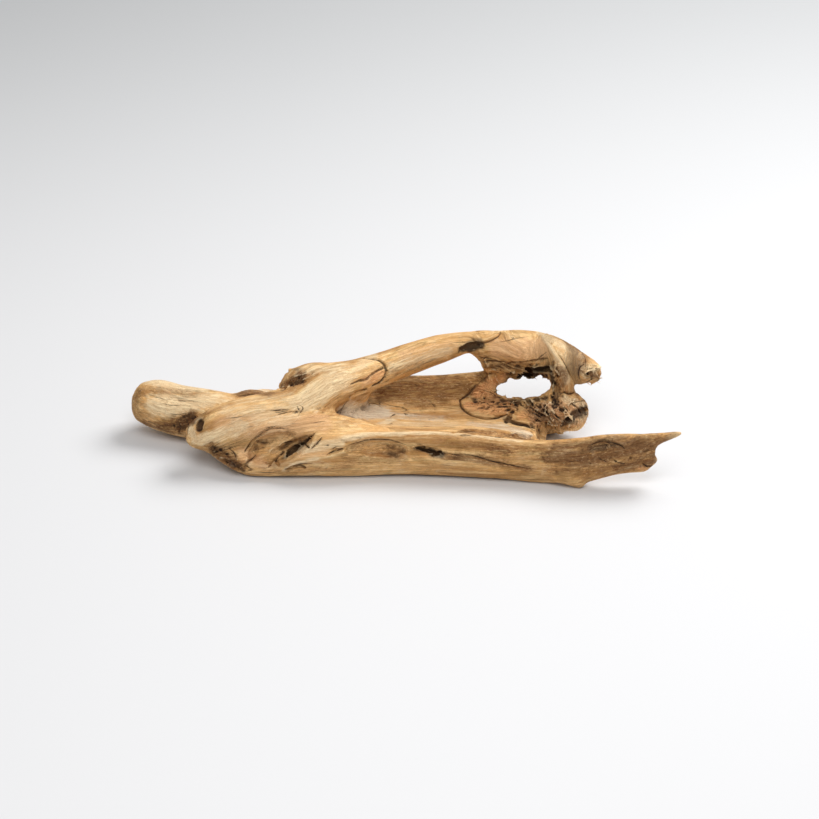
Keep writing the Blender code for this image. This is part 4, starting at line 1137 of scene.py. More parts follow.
class Shading:
    """Builds one material's node tree."""

    def __init__(self, name: str) -> None:
        """Makes an empty material with a shader and an output.

        Args:
            name: The material's name.
        """
        self.material = bpy.data.materials.new(name)
        self.material.use_nodes = True
        self.tree = self.material.node_tree
        self.shader = self.tree.nodes["Principled BSDF"]

    def node(self, kind: str, settings: dict | None = None, inputs: dict | None = None,
             output: int | str = 0) -> Field:
        """Adds one node.

        Args:
            kind: The node's type.
            settings: Its settings, such as a Math node's operation.
            inputs: Values or fields for its sockets, by number or name.
            output: The socket that is wanted.

        Returns:
            That socket as a field.
        """
        made = self.tree.nodes.new(kind)
        for key, value in (settings or {}).items():
            setattr(made, key, value)
        for key, value in (inputs or {}).items():
            if isinstance(value, Field):
                self.tree.links.new(value.socket, made.inputs[key])
            else:
                made.inputs[key].default_value = value
        return Field(self, made.outputs[output])

    def attribute(self, name: str) -> tuple[Field, Field, Field, Field]:
        """An attribute of the mesh.

        Args:
            name: The attribute's name.

        Returns:
            Its vector, and the vector's three parts.
        """
        vector = self.node("ShaderNodeAttribute", {"attribute_name": name}, output="Vector")
        parts = self.node("ShaderNodeSeparateXYZ", inputs={0: vector}).socket.node.outputs
        return vector, *(Field(self, part) for part in parts)

    def noise(self, vector: Field, pattern: "Pattern") -> Field:
        """Layered noise along a vector.

        Args:
            vector: Where each point is along and across the grain.
            pattern: How the noise is drawn out and layered.

        Returns:
            Values from 0 to 1.
        """
        place = self.node("ShaderNodeVectorMath", {"operation": "MULTIPLY_ADD"},
                          {0: vector, 1: pattern.stretch, 2: (pattern.shift,) * 3})
        return self.node("ShaderNodeTexNoise", {}, {
            "Vector": place, "Scale": 1.0, "Detail": pattern.detail, "Roughness": pattern.roughness,
            "Distortion": pattern.warp})

    def blend(self, share: Field | float, first: "Field | Colour", second: "Field | Colour",
              mode: str = "MIX") -> Field:
        """Mixes two colours.

        Args:
            share: How much of the second colour there is.
            first: The first colour.
            second: The second colour.
            mode: How they are mixed.

        Returns:
            The mixed colour.
        """
        settings = {"data_type": "RGBA", "blend_type": mode, "clamp_factor": True}
        return self.node("ShaderNodeMix", settings, {0: share, 6: first, 7: second}, output=2)

    def finish(self, inputs: dict[str, "Field | float"]) -> bpy.types.Material:
        """Sets the shader's sockets.

        Args:
            inputs: Values or fields for its sockets, by name.

        Returns:
            The material.
        """
        for key, value in inputs.items():
            if isinstance(value, Field):
                self.tree.links.new(value.socket, self.shader.inputs[key])
            else:
                self.shader.inputs[key].default_value = value
        return self.material


@dataclass(frozen=True)
class WeatheredWood:
    """The finish of the wood: its colours, among them those of painted shade and highlights, its gloss and
    how strongly its grain stands out.
    """

    light: Colour = linear(252, 212, 150)
    ground: Colour = linear(230, 178, 112)
    deep: Colour = linear(164, 112, 58)
    # Pale of bleached wood, also used for painted highlights and glints.
    pale: Colour = linear(252, 228, 184)
    pink: Colour = linear(252, 202, 152)
    grey: Colour = linear(242, 228, 202)
    # Olive stain, also used for painted shade on the stub and under the limb.
    olive: Colour = linear(146, 108, 54)
    # Brown stain, also used for painted shade in hollows, on the stub and on the column.
    brown: Colour = linear(112, 74, 38)
    # The near-black of painted shade, in recesses and deep in hollows.
    dark: Colour = linear(34, 19, 10)
    orange: Colour = linear(255, 196, 134)
    # Near-black of the cracks, and of the lines of painted shade drawn like them.
    crack: Colour = linear(26, 15, 8)
    roughness: float = 0.62
    gloss: float = 0.32
    refraction: float = 1.45
    bump: float = 0.0026

    def material(self) -> bpy.types.Material:
        """The wood's material, from the attributes that the mesh carries.

        Returns:
            The material.
        """
        shading = WoodShading(self)
        colour = shading.worn(shading.lined(shading.toned(shading.bare())))
        line, halo = shading.cracks()
        colour = shading.blend(halo * 0.4, colour, self.brown)
        colour = shading.blend(line * 0.95, colour, self.crack)
        height = shading.height() - line * 1.4 - halo * 0.3
        bump = shading.node("ShaderNodeBump", {}, {"Strength": 1.0, "Distance": self.bump, "Height": height})
        return shading.finish({
            "Base Color": colour, "Normal": bump, "Specular IOR Level": self.gloss, "IOR": self.refraction,
            "Roughness": self.roughness + shading.fibres * 0.2 - shading.pale * 0.08,
        })


class WoodShading(Shading):
    """The wood's node tree: the attributes that it reads, its patterns and its layers of colour."""

    def __init__(self, wood: WeatheredWood) -> None:
        """Reads the attributes and lays the patterns along the grain.

        Args:
            wood: The finish, with its colours.
        """
        super().__init__(SLOT)
        self.wood = wood
        self.grain, *_ = self.attribute("grain")
        _, self.pale, self.pink, self.grey = self.attribute("tone_light")
        # The third part of tone_dark is the painted shade of recesses and pits.
        _, self.olive, self.brown, self.dark = self.attribute("tone_dark")
        _, self.orange, self.rough, _ = self.attribute("tone_worn")
        self.streaks, self.fibres, self.blotches, self.speckle = (
            self.noise(self.grain, pattern) for pattern in (STREAKS, FIBRES, BLOTCHES, SPECKLE))
        stained = 0.34 + self.olive * 0.35 + self.brown * 0.4 + self.orange * 0.25
        self.wear = (stained + self.rough * 0.2).least(0.9)
        self.speck = self.speckle.rise(0.56, 0.70) * self.wear

    def bare(self) -> Field:
        """The colour of the wood before it is stained.

        Returns:
            The colour.
        """
        wood, loose = self.wood, self.fibres - 0.5
        bands, stain = self.noise(self.grain, BANDS), self.noise(self.grain, STAIN)
        colour = self.blend(self.streaks.rise(0.36, 0.64), wood.ground, wood.light)
        colour = self.blend(bands.rise(0.46, 0.66) * 0.6, colour, wood.deep)
        colour = self.blend((self.blotches + loose * 0.5).rise(0.5, 0.68) * 0.5, colour, wood.olive)
        colour = self.blend(self.blotches.rise(0.46, 0.32) * 0.35, colour, wood.pale)
        return self.blend((stain + loose * 0.4).rise(0.56, 0.72) * 0.45, colour, wood.brown)

    def toned(self, colour: Field) -> Field:
        """Lays the stained areas and the areas of painted shade and highlight over a colour, with ragged
        edges.

        Args:
            colour: The colour below.

        Returns:
            The stained colour.
        """
        wood = self.wood
        broken = ((self.streaks - 0.5) * 1.3 + (self.fibres - 0.5) * 0.9 + (self.speckle - 0.5) * 1.1
                  + (self.blotches - 0.5) * 0.8)
        for share, tint, strength, raggedness in (
            (self.pink, wood.pink, 0.7, 0.75), (self.pale, wood.pale, 0.85, 0.75),
            (self.grey, wood.grey, 0.85, 0.75), (self.olive, wood.olive, 0.75, 0.75),
            (self.orange, wood.orange, 0.95, 0.75), (self.brown, wood.brown, 0.8, 0.75),
            # Last, the painted shade: near-black in recesses and pits.
            (self.dark, wood.dark, 0.9, 0.3),
        ):
            ragged = share + broken * (share * 2.5).least(raggedness)
            colour = self.blend(ragged.rise(0.05, 1.0) * strength, colour, tint)
        return colour

    def lined(self, colour: Field) -> Field:
        """Draws the grain's dark lines and specks over a colour.

        Args:
            colour: The colour below.

        Returns:
            The lined colour.
        """
        for pattern, middle, sharpness, strength in (
            (self.streaks, 0.5, 22, 0.85), (self.fibres, 0.47, 12, 0.9),
        ):
            line = (1 - (abs(pattern - middle) * sharpness).least(1.0)) * self.wear
            colour = self.blend(line * strength, colour, self.wood.deep, "MULTIPLY")
        return self.blend(self.speck * 0.75, colour, self.wood.brown)

    def worn(self, colour: Field) -> Field:
        """Lightens what stands out of a colour, as wear and painted highlight, adds painted glints, and
        paints shade into what is sheltered.

        Args:
            colour: The colour below.

        Returns:
            The worn colour.
        """
        _, cavity, raised, _ = self.attribute("shelter")
        # Painted glints: pale specks, most of them on the rough wood.
        glint = self.speckle.rise(0.42, 0.30) * (0.25 + self.rough * 0.45)
        colour = self.blend(glint, colour, self.wood.pale)
        # Raised parts lightened: partly worn, bleached edges, partly painted highlight.
        wear_and_painted_highlight = raised.rise(0.0, 0.9) * (0.4 + self.rough * 0.35)
        colour = self.blend(wear_and_painted_highlight, colour, self.wood.pale)
        # Painted shade: sheltered hollows darkened to brown and then near black, broken up by specks.
        painted_hollow_shade = cavity + (self.speckle - 0.5) * 0.8 - self.orange * 0.4 - (self.pale + self.pink) * 0.3
        painted_hollow_shade = painted_hollow_shade.rise(0.25, 1.5)
        colour = self.blend(painted_hollow_shade.rise(0.0, 0.5) * 0.45, colour, self.wood.brown)
        return self.blend(painted_hollow_shade * painted_hollow_shade * 0.9, colour, self.wood.dark)

    def cracks(self) -> tuple[Field, Field]:
        """The drying cracks and the lines of painted shade drawn like them, which wander and break up along
        their paths.

        Returns:
            How much of a crack there is, and how much of the stain beside it.
        """
        _, lateral, gap, width = self.attribute("crack")
        wander = (self.noise(self.grain, WANDER) - 0.5) * 0.8
        strand = self.noise(self.grain, STRAND)
        half = (width * (0.3 + strand * 1.2)).most(0.05)
        strength = gap.rise(3.0, 1.4) * width.rise(0.04, 0.42) * strand.rise(0.25, 0.45)
        off = abs(lateral + wander) / half
        return off.rise(1.3, 0.5) * strength, off.rise(4.5, 1.0) * strength

    def height(self) -> Field:
        """The fine relief of the grain, before its cracks.

        Returns:
            The height.
        """
        specks = self.speckle * (0.15 + self.rough * 0.9) - self.speck * 0.3
        return self.streaks * 0.8 + self.fibres * 0.6 + specks + self.blotches * 0.5


@dataclass(frozen=True)
class PaleBoard:
    """The plain floor, made a little greyer towards the back as painted shade, where the light falls off."""

    near: Colour = linear(212, 212, 213)
    # The far colour is painted shade: the floor is darker towards the back.
    far: Colour = linear(192, 193, 194)
    roughness: float = 0.9
    fade_start: float = 0.05
    fade_end: float = 1.5

    def material(self) -> bpy.types.Material:
        """The floor's plain material.

        Returns:
            The material.
        """
        shading = Shading("pale_board")
        place = shading.node("ShaderNodeTexCoord", output="Object")
        depth = shading.node("ShaderNodeSeparateXYZ", inputs={0: place}, output=1)
        colour = shading.blend(depth.rise(self.fade_start, self.fade_end), self.near, self.far)
        return shading.finish({"Base Color": colour, "Roughness": self.roughness})


@dataclass
class SplinterTree:
    """Geometry Nodes that stand torn splinters along the grain on the frayed parts of the wood."""

    density: float = 26000.0
    length: float = 0.0052
    thickness: float = 0.00042
    tip: float = 0.00008
    sides: int = 5
    lift: float = 0.3
    stray: float = 0.22
    smallest: float = 0.35
    largest: float = 1.3
    seed: int = 7

    def build(self) -> bpy.types.GeometryNodeTree:
        """The node tree.

        Returns:
            The tree, from the wood's mesh to the wood's mesh with its splinters.
        """
        tree = bpy.data.node_groups.new("splinters", "GeometryNodeTree")
        ports = (("Geometry", "NodeSocketGeometry"), ("Density", "NodeSocketFloat"),
                 ("Length", "NodeSocketFloat"), ("Thickness", "NodeSocketFloat"), ("Seed", "NodeSocketInt"),
                 ("Finish", "NodeSocketMaterial"))
        for name, kind in ports:
            tree.interface.new_socket(name, in_out="INPUT", socket_type=kind)
        tree.interface.new_socket("Geometry", in_out="OUTPUT", socket_type="NodeSocketGeometry")

        def add(kind: str, settings: dict | None = None, inputs: dict | None = None) -> bpy.types.Node:
            """Adds one node.

            Args:
                kind: The node's type.
                settings: Its settings.
                inputs: Values or sockets for its inputs, by number or name.

            Returns:
                The node.
            """
            made = tree.nodes.new(kind)
            for key, value in (settings or {}).items():
                setattr(made, key, value)
            for key, value in (inputs or {}).items():
                if isinstance(value, bpy.types.NodeSocket):
                    tree.links.new(value, made.inputs[key])
                else:
                    made.inputs[key].default_value = value
            return made

        given = add("NodeGroupInput").outputs
        worn = add("GeometryNodeInputNamedAttribute", {"data_type": "FLOAT_VECTOR"}, {"Name": "tone_worn"})
        fray = add("ShaderNodeSeparateXYZ", {}, {0: worn.outputs[0]}).outputs[2]
        amount = add("ShaderNodeMath", {"operation": "MULTIPLY"}, {0: fray, 1: given["Density"]})
        spots = add("GeometryNodeDistributePointsOnFaces", {"distribute_method": "RANDOM"},
                    {"Mesh": given["Geometry"], "Density": amount.outputs[0], "Seed": given["Seed"]})
        lie = add("GeometryNodeInputNamedAttribute", {"data_type": "FLOAT_VECTOR"}, {"Name": "lie"})
        lift = add("ShaderNodeVectorMath", {"operation": "SCALE"},
                   {0: spots.outputs["Normal"], "Scale": self.lift})
        stray = add("FunctionNodeRandomValue", {"data_type": "FLOAT_VECTOR"},
                    {0: (-self.stray,) * 3, 1: (self.stray,) * 3, "Seed": given["Seed"]})
        lean = add("ShaderNodeVectorMath", {"operation": "ADD"}, {0: lie.outputs[0], 1: lift.outputs[0]})
        aim = add("ShaderNodeVectorMath", {"operation": "ADD"}, {0: lean.outputs[0], 1: stray.outputs[0]})
        turn = add("FunctionNodeAlignRotationToVector", {"axis": "Z"}, {"Vector": aim.outputs[0]})
        size = add("FunctionNodeRandomValue", {"data_type": "FLOAT"},
                   {2: self.smallest, 3: self.largest, "Seed": given["Seed"]})
        splinter = add("GeometryNodeMeshCone", {}, {
            "Vertices": self.sides, "Side Segments": 1, "Radius Top": self.tip,
            "Radius Bottom": given["Thickness"], "Depth": given["Length"]})
        stood = add("GeometryNodeInstanceOnPoints", {}, {
            "Points": spots.outputs["Points"], "Instance": splinter.outputs["Mesh"],
            "Rotation": turn.outputs[0], "Scale": size.outputs[1]})
        joined = add("GeometryNodeJoinGeometry")
        for part in (given["Geometry"], stood.outputs["Instances"]):
            tree.links.new(part, joined.inputs[0])
        real = add("GeometryNodeRealizeInstances", {}, {"Geometry": joined.outputs[0]})
        dressed = add("GeometryNodeSetMaterial", {},
                      {"Geometry": real.outputs[0], "Material": given["Finish"]})
        add("NodeGroupOutput", {}, {0: dressed.outputs[0]})
        return tree

    def apply(self, piece: bpy.types.Object, finish: bpy.types.Material) -> None:
        """Puts the splinters into an object's mesh.

        Args:
            piece: The object.
            finish: The splinters' material.
        """
        modifier = piece.modifiers.new("splinters", "NODES")
        modifier.node_group = self.build()
        given = {"Density": self.density, "Length": self.length, "Thickness": self.thickness,
                 "Seed": self.seed, "Finish": finish}
        for socket in modifier.node_group.interface.items_tree:
            if socket.in_out == "INPUT" and socket.name in given:
                modifier[socket.identifier] = given[socket.name]
        bake_modifiers(piece)


def bake_modifiers(piece: bpy.types.Object) -> None:
    """Turns an object's modifiers into its plain mesh and takes them off.

    Args:
        piece: The object.
    """
    graph = bpy.context.evaluated_depsgraph_get()
    graph.update()
    made = bpy.data.meshes.new_from_object(piece.evaluated_get(graph), depsgraph=graph)
    made.name = piece.data.name
    piece.modifiers.clear()
    piece.data = made


def mesh_arrays(mesh: bpy.types.Mesh) -> tuple[np.ndarray, np.ndarray, np.ndarray]:
    """A mesh as arrays.

    Args:
        mesh: The mesh.

    Returns:
        Its points in millimetres, its normals there, and the corners of its triangles.
    """
    mesh.calc_loop_triangles()
    points = np.empty(len(mesh.vertices) * 3)
    mesh.vertices.foreach_get("co", points)
    normals = np.empty(len(mesh.vertices) * 3)
    mesh.vertices.foreach_get("normal", normals)
    triangles = np.empty(len(mesh.loop_triangles) * 3, np.int32)
    mesh.loop_triangles.foreach_get("vertices", triangles)
    return points.reshape(-1, 3) / MM, normals.reshape(-1, 3), triangles.reshape(-1, 3)


def made_object(name: str, points: np.ndarray, faces: np.ndarray) -> bpy.types.Object:
    """Makes a smooth object.

    Args:
        name: Its name.
        points: Its points in millimetres.
        faces: The corners of its faces, which all have the same number of sides.

    Returns:
        The object.
    """
    mesh = bpy.data.meshes.new(name)
    sides = faces.shape[1]
    mesh.vertices.add(len(points))
    mesh.vertices.foreach_set("co", (points * MM).astype(np.float32).ravel())
    mesh.loops.add(faces.size)
    mesh.loops.foreach_set("vertex_index", faces.astype(np.int32).ravel())
    mesh.polygons.add(len(faces))
    mesh.polygons.foreach_set("loop_start", (np.arange(len(faces)) * sides).astype(np.int32))
    mesh.update(calc_edges=True)
    mesh.shade_smooth()
    made = bpy.data.objects.new(name, mesh)
    bpy.context.scene.collection.objects.link(made)
    return made


def put_vector(mesh: bpy.types.Mesh, name: str, values: np.ndarray) -> None:
    """Stores one vector for each point of a mesh."""
    attribute = mesh.attributes.new(name, "FLOAT_VECTOR", "POINT")
    attribute.data.foreach_set("vector", values.astype(np.float32).ravel())


@dataclass
class Driftwood:
    """The piece of driftwood, made from the frame's solid."""

    node: bpy.types.Object
    finish: WeatheredWood = field(default_factory=WeatheredWood)
    seed: int = 20
    smoothing: float = 1.7
    swelling: float = 0.1
    relief: float = 0.9
    grooves: float = 0.62
    rough_relief: float = 1.1
    pit_length: Point = (3.0, 10.0)
    pit_radius: Point = (0.8, 1.9)
    sliver_height: float = 2.8
    cut_depth: float = 1.0
    painted_shade_sink: float = 0.7
    shelter_reach: Point = (2.2, 5.0)
    triangles: int = 186_000
    crack_reach: float = 8.0
    crack_margin: float = 5.0
    small_checks: int = 260
    small_check_steps: int = 13
    small_check_stride: float = 2.0

    def __post_init__(self) -> None:
        """Prepares the noise, the grain, the frame's box and the wood's volume."""
        self.noise = GrainNoise(self.seed)
        self.grain = GrainField(GUIDES)
        self.low, self.high = (np.array(corner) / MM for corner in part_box(NODE))
        self.volume = WoodVolume()

    def build(self) -> bpy.types.Object:
        """Makes the wood, dresses it and puts it on the frame.

        Returns:
            The finished object.
        """
        points, _, triangles = self.solid()
        tree = BVHTree.FromPolygons(points.tolist(), triangles.tolist())
        aim = (self.low + self.high) / 2 + np.array(AIM_SHIFT)
        self.sheet = LayoutSheet(tree, aim)
        self.volume.fill(points, triangles)
        self.volume.cells = self.volume.blurred(self.smoothing) - np.float32(self.swelling)
        self.shape()
        piece = self.skinned()
        self.put_attributes(piece.data)
        finish = self.finish.material()
        piece.data.materials.append(finish)
        SplinterTree().apply(piece, finish)
        self.keep_inside(piece.data)
        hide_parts(NODE)
        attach(piece, BODY)
        return piece

    def solid(self) -> tuple[np.ndarray, np.ndarray, np.ndarray]:
        """The frame's solid with its doubles merged and its facets rounded.

        Returns:
            Its points in millimetres, its normals there, and the corners of its triangles.
        """
        copy = bpy.data.objects.new("solid", self.node.data.copy())
        bpy.context.scene.collection.objects.link(copy)
        weld = copy.modifiers.new("weld", "WELD")
        weld.merge_threshold = 1e-6
        smooth = copy.modifiers.new("round", "SUBSURF")
        smooth.levels = smooth.render_levels = 1
        bake_modifiers(copy)
        arrays = mesh_arrays(copy.data)
        bpy.data.objects.remove(copy)
        return arrays

    def shape(self) -> None:
        """Grows, gouges and tears the wood in its volume."""
        rng = np.random.default_rng(self.seed + 1)
        self.grow(GROWTHS, STROKE_STEP, True)
        self.grow(BORES, BORE_STEP, False)
        self.work(RIDGES, True)
        for tear in TEARS:
            spots, _, shares = self.sheet.drop(tear.path, tear.side, TEAR_STEP)
            radii = along(tear.radii, shares)
            self.volume.tear(spots, radii, tear.height, tear.size, self.noise, self.grain)
            self.pit(spots, radii, tear.pits, tear.height > self.sliver_height, rng)
        self.work(GOUGES, False)
        for check in CHECKS:
            if check.depth > self.cut_depth:
                self.cut(check)
        self.volume.trim(self.low, self.high)

    def grow(self, limbs: tuple[Limb, ...], step: float, adds: bool) -> None:
        """Adds limbs, or bores them away.

        Args:
            limbs: The limbs or bores.
            step: The spacing of the points along them.
            adds: Whether they are added.
        """
        for limb in limbs:
            log.debug("%s %s", "growing" if adds else "boring", limb.name)
            path, shares = smooth_path(np.array(limb.path, float), step)
            self.volume.stroke(path, along(limb.radii, shares), limb.blend, limb.rough, self.noise, adds)

    def work(self, strokes: tuple[Stroke, ...], adds: bool) -> None:
        """Raises ridges or cuts gouges, each at its own depth under the skin.

        Args:
            strokes: The ridges or gouges.
            adds: Whether they are ridges.
        """
        for stroke in strokes:
            log.debug("%s %s", "raising" if adds else "gouging", stroke.name)
            spots, normals, shares = self.sheet.drop(stroke.path, stroke.side, STROKE_STEP)
            path, radii = spots - normals * stroke.sink, along(stroke.radii, shares)
            self.volume.stroke(path, radii, stroke.blend, stroke.rough, self.noise, adds)

    def cut(self, check: Check) -> None:
        """Opens a deep check in the wood.

        Args:
            check: The check.
        """
        log.debug("opening %s", check.name)
        spots, normals, shares = self.sheet.drop(check.path, check.side, CHECK_STEP)
        widths = tapered(check.start, check.end, shares, 0.06, 0.4)
        path = spots - normals * 0.35 * check.depth
        self.volume.stroke(path, widths + 0.6, 0.6, 0.35, self.noise, False)

    def pit(self, spots: np.ndarray, radii: np.ndarray, count: int, slivers: bool,
            rng: np.random.Generator) -> None:
        """Sinks short pits into the wood around a path and may raise slivers there, along the grain.

        Args:
            spots: The path's points in millimetres.
            radii: How far the pits reach from each of them.
            count: How many there are.
            slivers: Whether every other one is raised.
            rng: The source of their places and sizes.
        """
        chosen = rng.integers(0, len(spots), count)
        centres = spots[chosen] + rng.normal(0, 0.42, (count, 3)) * radii[chosen][:, None]
        for number, (centre, lie) in enumerate(zip(centres, self.grain.direction(centres))):
            spot, normal, _, _ = self.sheet.tree.find_nearest(Vector(centre))
            spot, normal = np.array(spot), np.array(normal)
            lie = lie + rng.normal(0, 0.4, 3)
            lie -= normal * (lie @ normal)
            lie /= max(np.linalg.norm(lie), 1e-6)
            length = rng.uniform(*self.pit_length)
            radius = rng.uniform(*self.pit_radius)
            adds = slivers and number % 2 == 1
            depth = np.array([0.0, 0.8, 0.3]) if adds else np.array([0.4, -0.9, 0.4])
            path = spot + np.outer([-length, 0, length], lie) + np.outer(depth, normal)
            widths = radius * np.array([0.5, 1.0, 0.4])
            self.volume.stroke(path, widths, 1.0, 1.3, self.noise, adds)

    def skinned(self) -> bpy.types.Object:
        """The wood's surface with its relief, thinned to the number of triangles that is wanted.

        Returns:
            The wood's object, with no material yet.
        """
        points, quads = self.volume.skin()
        piece = made_object("driftwood_wood", points, quads)
        points, normals, _ = mesh_arrays(piece.data)
        rough = self.tones(points)[Tone.ROUGH]
        lie = self.grain.coordinates(points)
        rolling = self.noise.layered(lie * ROLLING, 3)
        grooves = self.noise.layered(lie * GROOVED + 9.0, 3, ridged=True)
        crags = self.noise.layered(lie * CRAGGED + 31.0, 3, ridged=True)
        patchy = np.clip(0.6 + 1.5 * self.noise.layered(lie * PATCHED + 55.0, 2), 0.15, 1.5)
        lift = self.relief * (rolling - 0.35) + self.grooves * (grooves - 0.6) * (0.7 * patchy + 0.5 * rough)
        lift += self.rough_relief * rough * (crags - 0.6)
        points = np.clip(points + normals * lift[:, None], self.low, self.high)
        piece.data.vertices.foreach_set("co", (points * MM).astype(np.float32).ravel())
        thin = piece.modifiers.new("thin", "DECIMATE")
        thin.ratio = min(1.0, self.triangles / (2 * len(quads)))
        bake_modifiers(piece)
        piece.data.shade_smooth()
        return piece

    def tones(self, points: np.ndarray) -> dict[Tone, np.ndarray]:
        """How strong each tone is at points.

        Args:
            points: Points in millimetres.

        Returns:
            For each tone, its strength at the points, from 0 to 1.
        """
        found = {tone: np.zeros(len(points)) for tone in Tone}
        warp = 0.42 * self.noise.layered(points / 11.0, 3) + 0.22 * self.noise.at(points / 3.0)
        for tone, patches in PATCHES.items():
            for patch in patches:
                spots, normals, shares = self.sheet.drop(patch.path, patch.side, PATCH_STEP)
                radii = along(patch.radii, shares)
                # Patches of painted shade are sunk under the skin, so that they darken the recesses that they
                # lie over.
                if tone is Tone.DARK:
                    spots = spots - normals * self.painted_shade_sink * radii[:, None]
                reach = radii.max() * 1.6
                close = np.all((points > spots.min(0) - reach) & (points < spots.max(0) + reach), axis=1)
                gap, segment, _ = nearest_on_path(points[close], spots)
                share = np.clip(1.45 - gap / radii[segment] * (1 + warp[close]), 0, 1)
                share = patch.strength * share * share * (3 - 2 * share)
                found[tone][close] = np.maximum(found[tone][close], share)
        return found

    def put_attributes(self, mesh: bpy.types.Mesh) -> None:
        """Stores the grain, tones, shelter and cracks that the finish reads.

        Args:
            mesh: The wood's mesh.
        """
        points, normals, _ = mesh_arrays(mesh)
        tones = self.tones(points)
        for name in ("tone_light", "tone_dark", "tone_worn"):
            channels = sorted((tone.value[1], tones[tone]) for tone in Tone if tone.value[0] == name)
            put_vector(mesh, name, np.stack([values for _, values in channels], 1))
        put_vector(mesh, "grain", self.grain.coordinates(points))
        put_vector(mesh, "lie", self.grain.direction(points))
        near, wide = (-self.volume.sample(self.volume.blurred(sigma), points) for sigma in self.shelter_reach)
        # The first part drives the painted shade in hollows; the second lightens raised parts, as wear and
        # painted highlight.
        shelter = (near + wide * 0.08 - 0.45, -near - 0.1, np.zeros(len(points)))
        put_vector(mesh, "shelter", np.stack(shelter, 1))
        put_vector(mesh, "crack", self.cracks(points, normals))

    def cracks(self, points: np.ndarray, normals: np.ndarray) -> np.ndarray:
        """The nearest crack to each point.

        Args:
            points: Points of the surface in millimetres.
            normals: The surface's normals there.

        Returns:
            For each point, its distance to one side of the crack, its distance from it, and the crack's
            half width.
        """
        best = np.full(len(points), self.crack_reach)
        found = np.tile(NO_CRACK, (len(points), 1))
        lines = [(*self.sheet.drop(check.path, check.side, CHECK_STEP), check.start, check.end)
                 for check in CHECKS]
        lines += self.scattered(points, normals)
        for spots, faces, shares, start, end in lines:
            widths = tapered(start, end, shares, 0.04, 0.5)
            low, high = spots.min(0) - self.crack_margin, spots.max(0) + self.crack_margin
            close = np.flatnonzero(np.all((points > low) & (points < high), axis=1))
            gap, segment, share = nearest_on_path(points[close], spots)
            run = spots[segment + 1] - spots[segment]
            across = np.cross(run, faces[segment])
            across /= np.maximum(np.linalg.norm(across, axis=1), 1e-9)[:, None]
            lateral = np.einsum("ij,ij->i", points[close] - spots[segment] - run * share[:, None], across)
            facing = np.einsum("ij,ij->i", normals[close], faces[segment]) > -0.3
            nearer = (gap - widths[segment] < best[close]) & facing
            kept = close[nearer]
            best[kept] = (gap - widths[segment])[nearer]
            found[kept] = np.stack([lateral, gap, widths[segment]], 1)[nearer]
        return found

    def scattered(self, points: np.ndarray, normals: np.ndarray) -> list[tuple]:
        """Small checks all over the wood, each running along the grain.

        Args:
            points: Points of the surface in millimetres.
            normals: The surface's normals there.

        Returns:
            For each check its spots, normals and shares along, and half its width at both ends.
        """
        rng = np.random.default_rng(self.seed)
        start = rng.choice(len(points), self.small_checks, replace=False)
        spots, faces = [points[start]], [normals[start]]
        drift = rng.normal(0, 0.07, (self.small_checks, 3))
        for _ in range(self.small_check_steps):
            run = self.grain.direction(spots[-1]) + drift + rng.normal(0, 0.06, drift.shape)
            run -= faces[-1] * np.einsum("ij,ij->i", run, faces[-1])[:, None]
            run *= self.small_check_stride / np.maximum(np.linalg.norm(run, axis=1), 1e-6)[:, None]
            found = [self.sheet.tree.find_nearest(Vector(spot)) for spot in spots[-1] + run]
            spots.append(np.array([hit[0] for hit in found]))
            faces.append(np.array([hit[1] for hit in found]))
        lines = []
        for number in range(self.small_checks):
            count = int(rng.integers(4, self.small_check_steps + 1))
            walk = np.array([spot[number] for spot in spots[:count]])
            face = np.array([normal[number] for normal in faces[:count]])
            turns = np.einsum("ij,ij->i", face[:-1], face[1:])
            width = float(rng.uniform(0.12, 0.3))
            if turns.min() > 0.8:
                lines.append((walk, face, np.linspace(0, 1, count), width, width * 0.6))
        return lines

    def keep_inside(self, mesh: bpy.types.Mesh) -> None:
        """Holds every point of a mesh within the frame's box.

        Args:
            mesh: The mesh.
        """
        points, _, _ = mesh_arrays(mesh)
        points = np.clip(points, self.low, self.high)
        mesh.vertices.foreach_set("co", (points * MM).astype(np.float32).ravel())
        mesh.update()


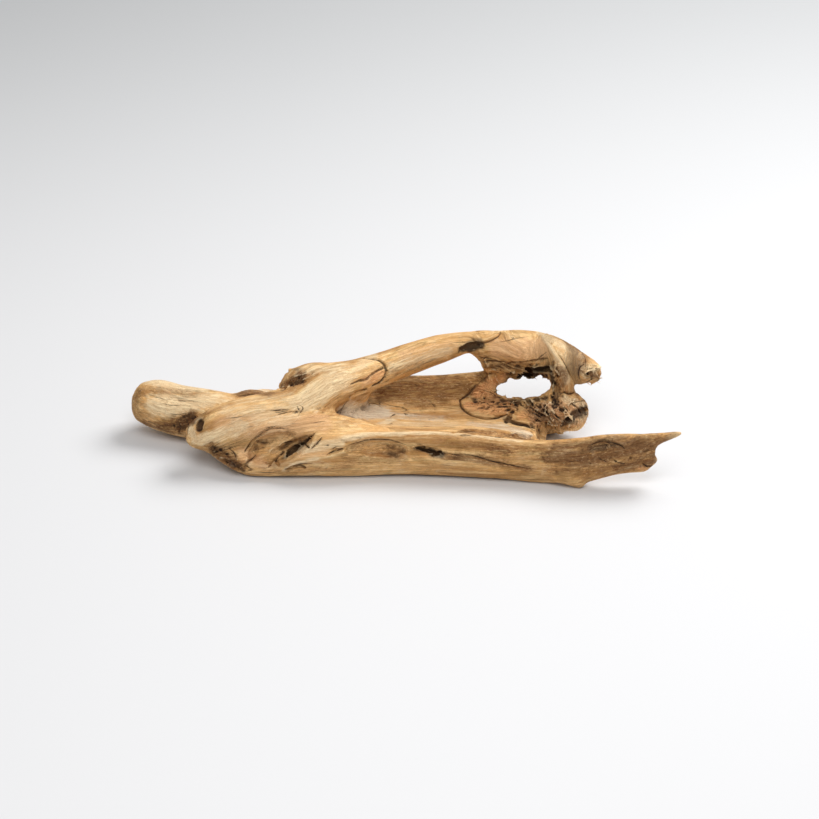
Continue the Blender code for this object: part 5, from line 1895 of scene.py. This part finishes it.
@dataclass
class Studio:
    """The plain floor, the soft lights and the camera."""

    aim: Vector
    floor_size: float = 30.0
    surround: float = 0.38
    sight: float = 97.58

    def build(self) -> bpy.types.Object:
        """Makes the studio.

        Returns:
            The floor.
        """
        floor = made_object("floor", self.corners() / MM, np.array([[0, 1, 2, 3]]))
        floor.data.materials.append(PaleBoard().material())
        self.add_light("key", Vector((1.3, 0.95, 2.1)), 1.6, 69.0)
        self.add_light("fill", Vector((-0.1, -1.2, 1.9)), 1.4, 24.0)
        self.light_surroundings()
        self.add_camera()
        bpy.context.scene.view_settings.view_transform = "Standard"
        return floor

    def corners(self) -> np.ndarray:
        """The floor's corners in metres."""
        half = self.floor_size / 2
        return np.array([(-half, -half, 0), (half, -half, 0), (half, half, 0), (-half, half, 0)])

    def add_light(self, name: str, place: Vector, size: float, power: float) -> None:
        """Adds one soft light that shines at the wood.

        Args:
            name: The light's name.
            place: Where it hangs.
            size: The side of its square.
            power: Its power in watts.
        """
        lamp = bpy.data.lights.new(name, "AREA")
        lamp.energy = power
        lamp.size = size
        made = bpy.data.objects.new(name, lamp)
        made.location = place
        made.rotation_euler = (self.aim - place).to_track_quat("-Z", "Y").to_euler()
        bpy.context.scene.collection.objects.link(made)

    def light_surroundings(self) -> None:
        """Gives the studio its even white surroundings."""
        world = bpy.data.worlds.new("surroundings")
        world.use_nodes = True
        world.node_tree.nodes["Background"].inputs["Color"].default_value = (1.0, 1.0, 1.0, 1.0)
        world.node_tree.nodes["Background"].inputs["Strength"].default_value = self.surround
        bpy.context.scene.world = world

    def add_camera(self) -> None:
        """Adds the camera in front of the wood, looking down at it."""
        lens = bpy.data.cameras.new("view")
        lens.lens = self.sight
        lens.sensor_width = 36.0
        lens.clip_end = 50.0
        made = bpy.data.objects.new("view", lens)
        back = Vector((0.0, -math.cos(VIEW_ELEVATION), math.sin(VIEW_ELEVATION)))
        turn = (-back).to_track_quat("-Z", "Y").to_matrix().to_4x4()
        made.matrix_world = Matrix.Translation(self.aim + back * VIEW_DISTANCE * MM) @ turn
        bpy.context.scene.collection.objects.link(made)
        bpy.context.scene.camera = made


def main() -> None:
    """Builds the studio and the wood."""
    logging.basicConfig(level=logging.INFO, format="%(name)s: %(message)s")
    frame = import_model()
    low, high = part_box(NODE)
    studio = Studio((low + high) / 2 + Vector(AIM_SHIFT) * MM)
    studio.build()
    log.info("studio built")
    piece = Driftwood(frame["nodes"][NODE]).build()
    piece.data.calc_loop_triangles()
    log.info("%s: %d triangles", piece.name, len(piece.data.loop_triangles))


if __name__ == "__main__":
    main()
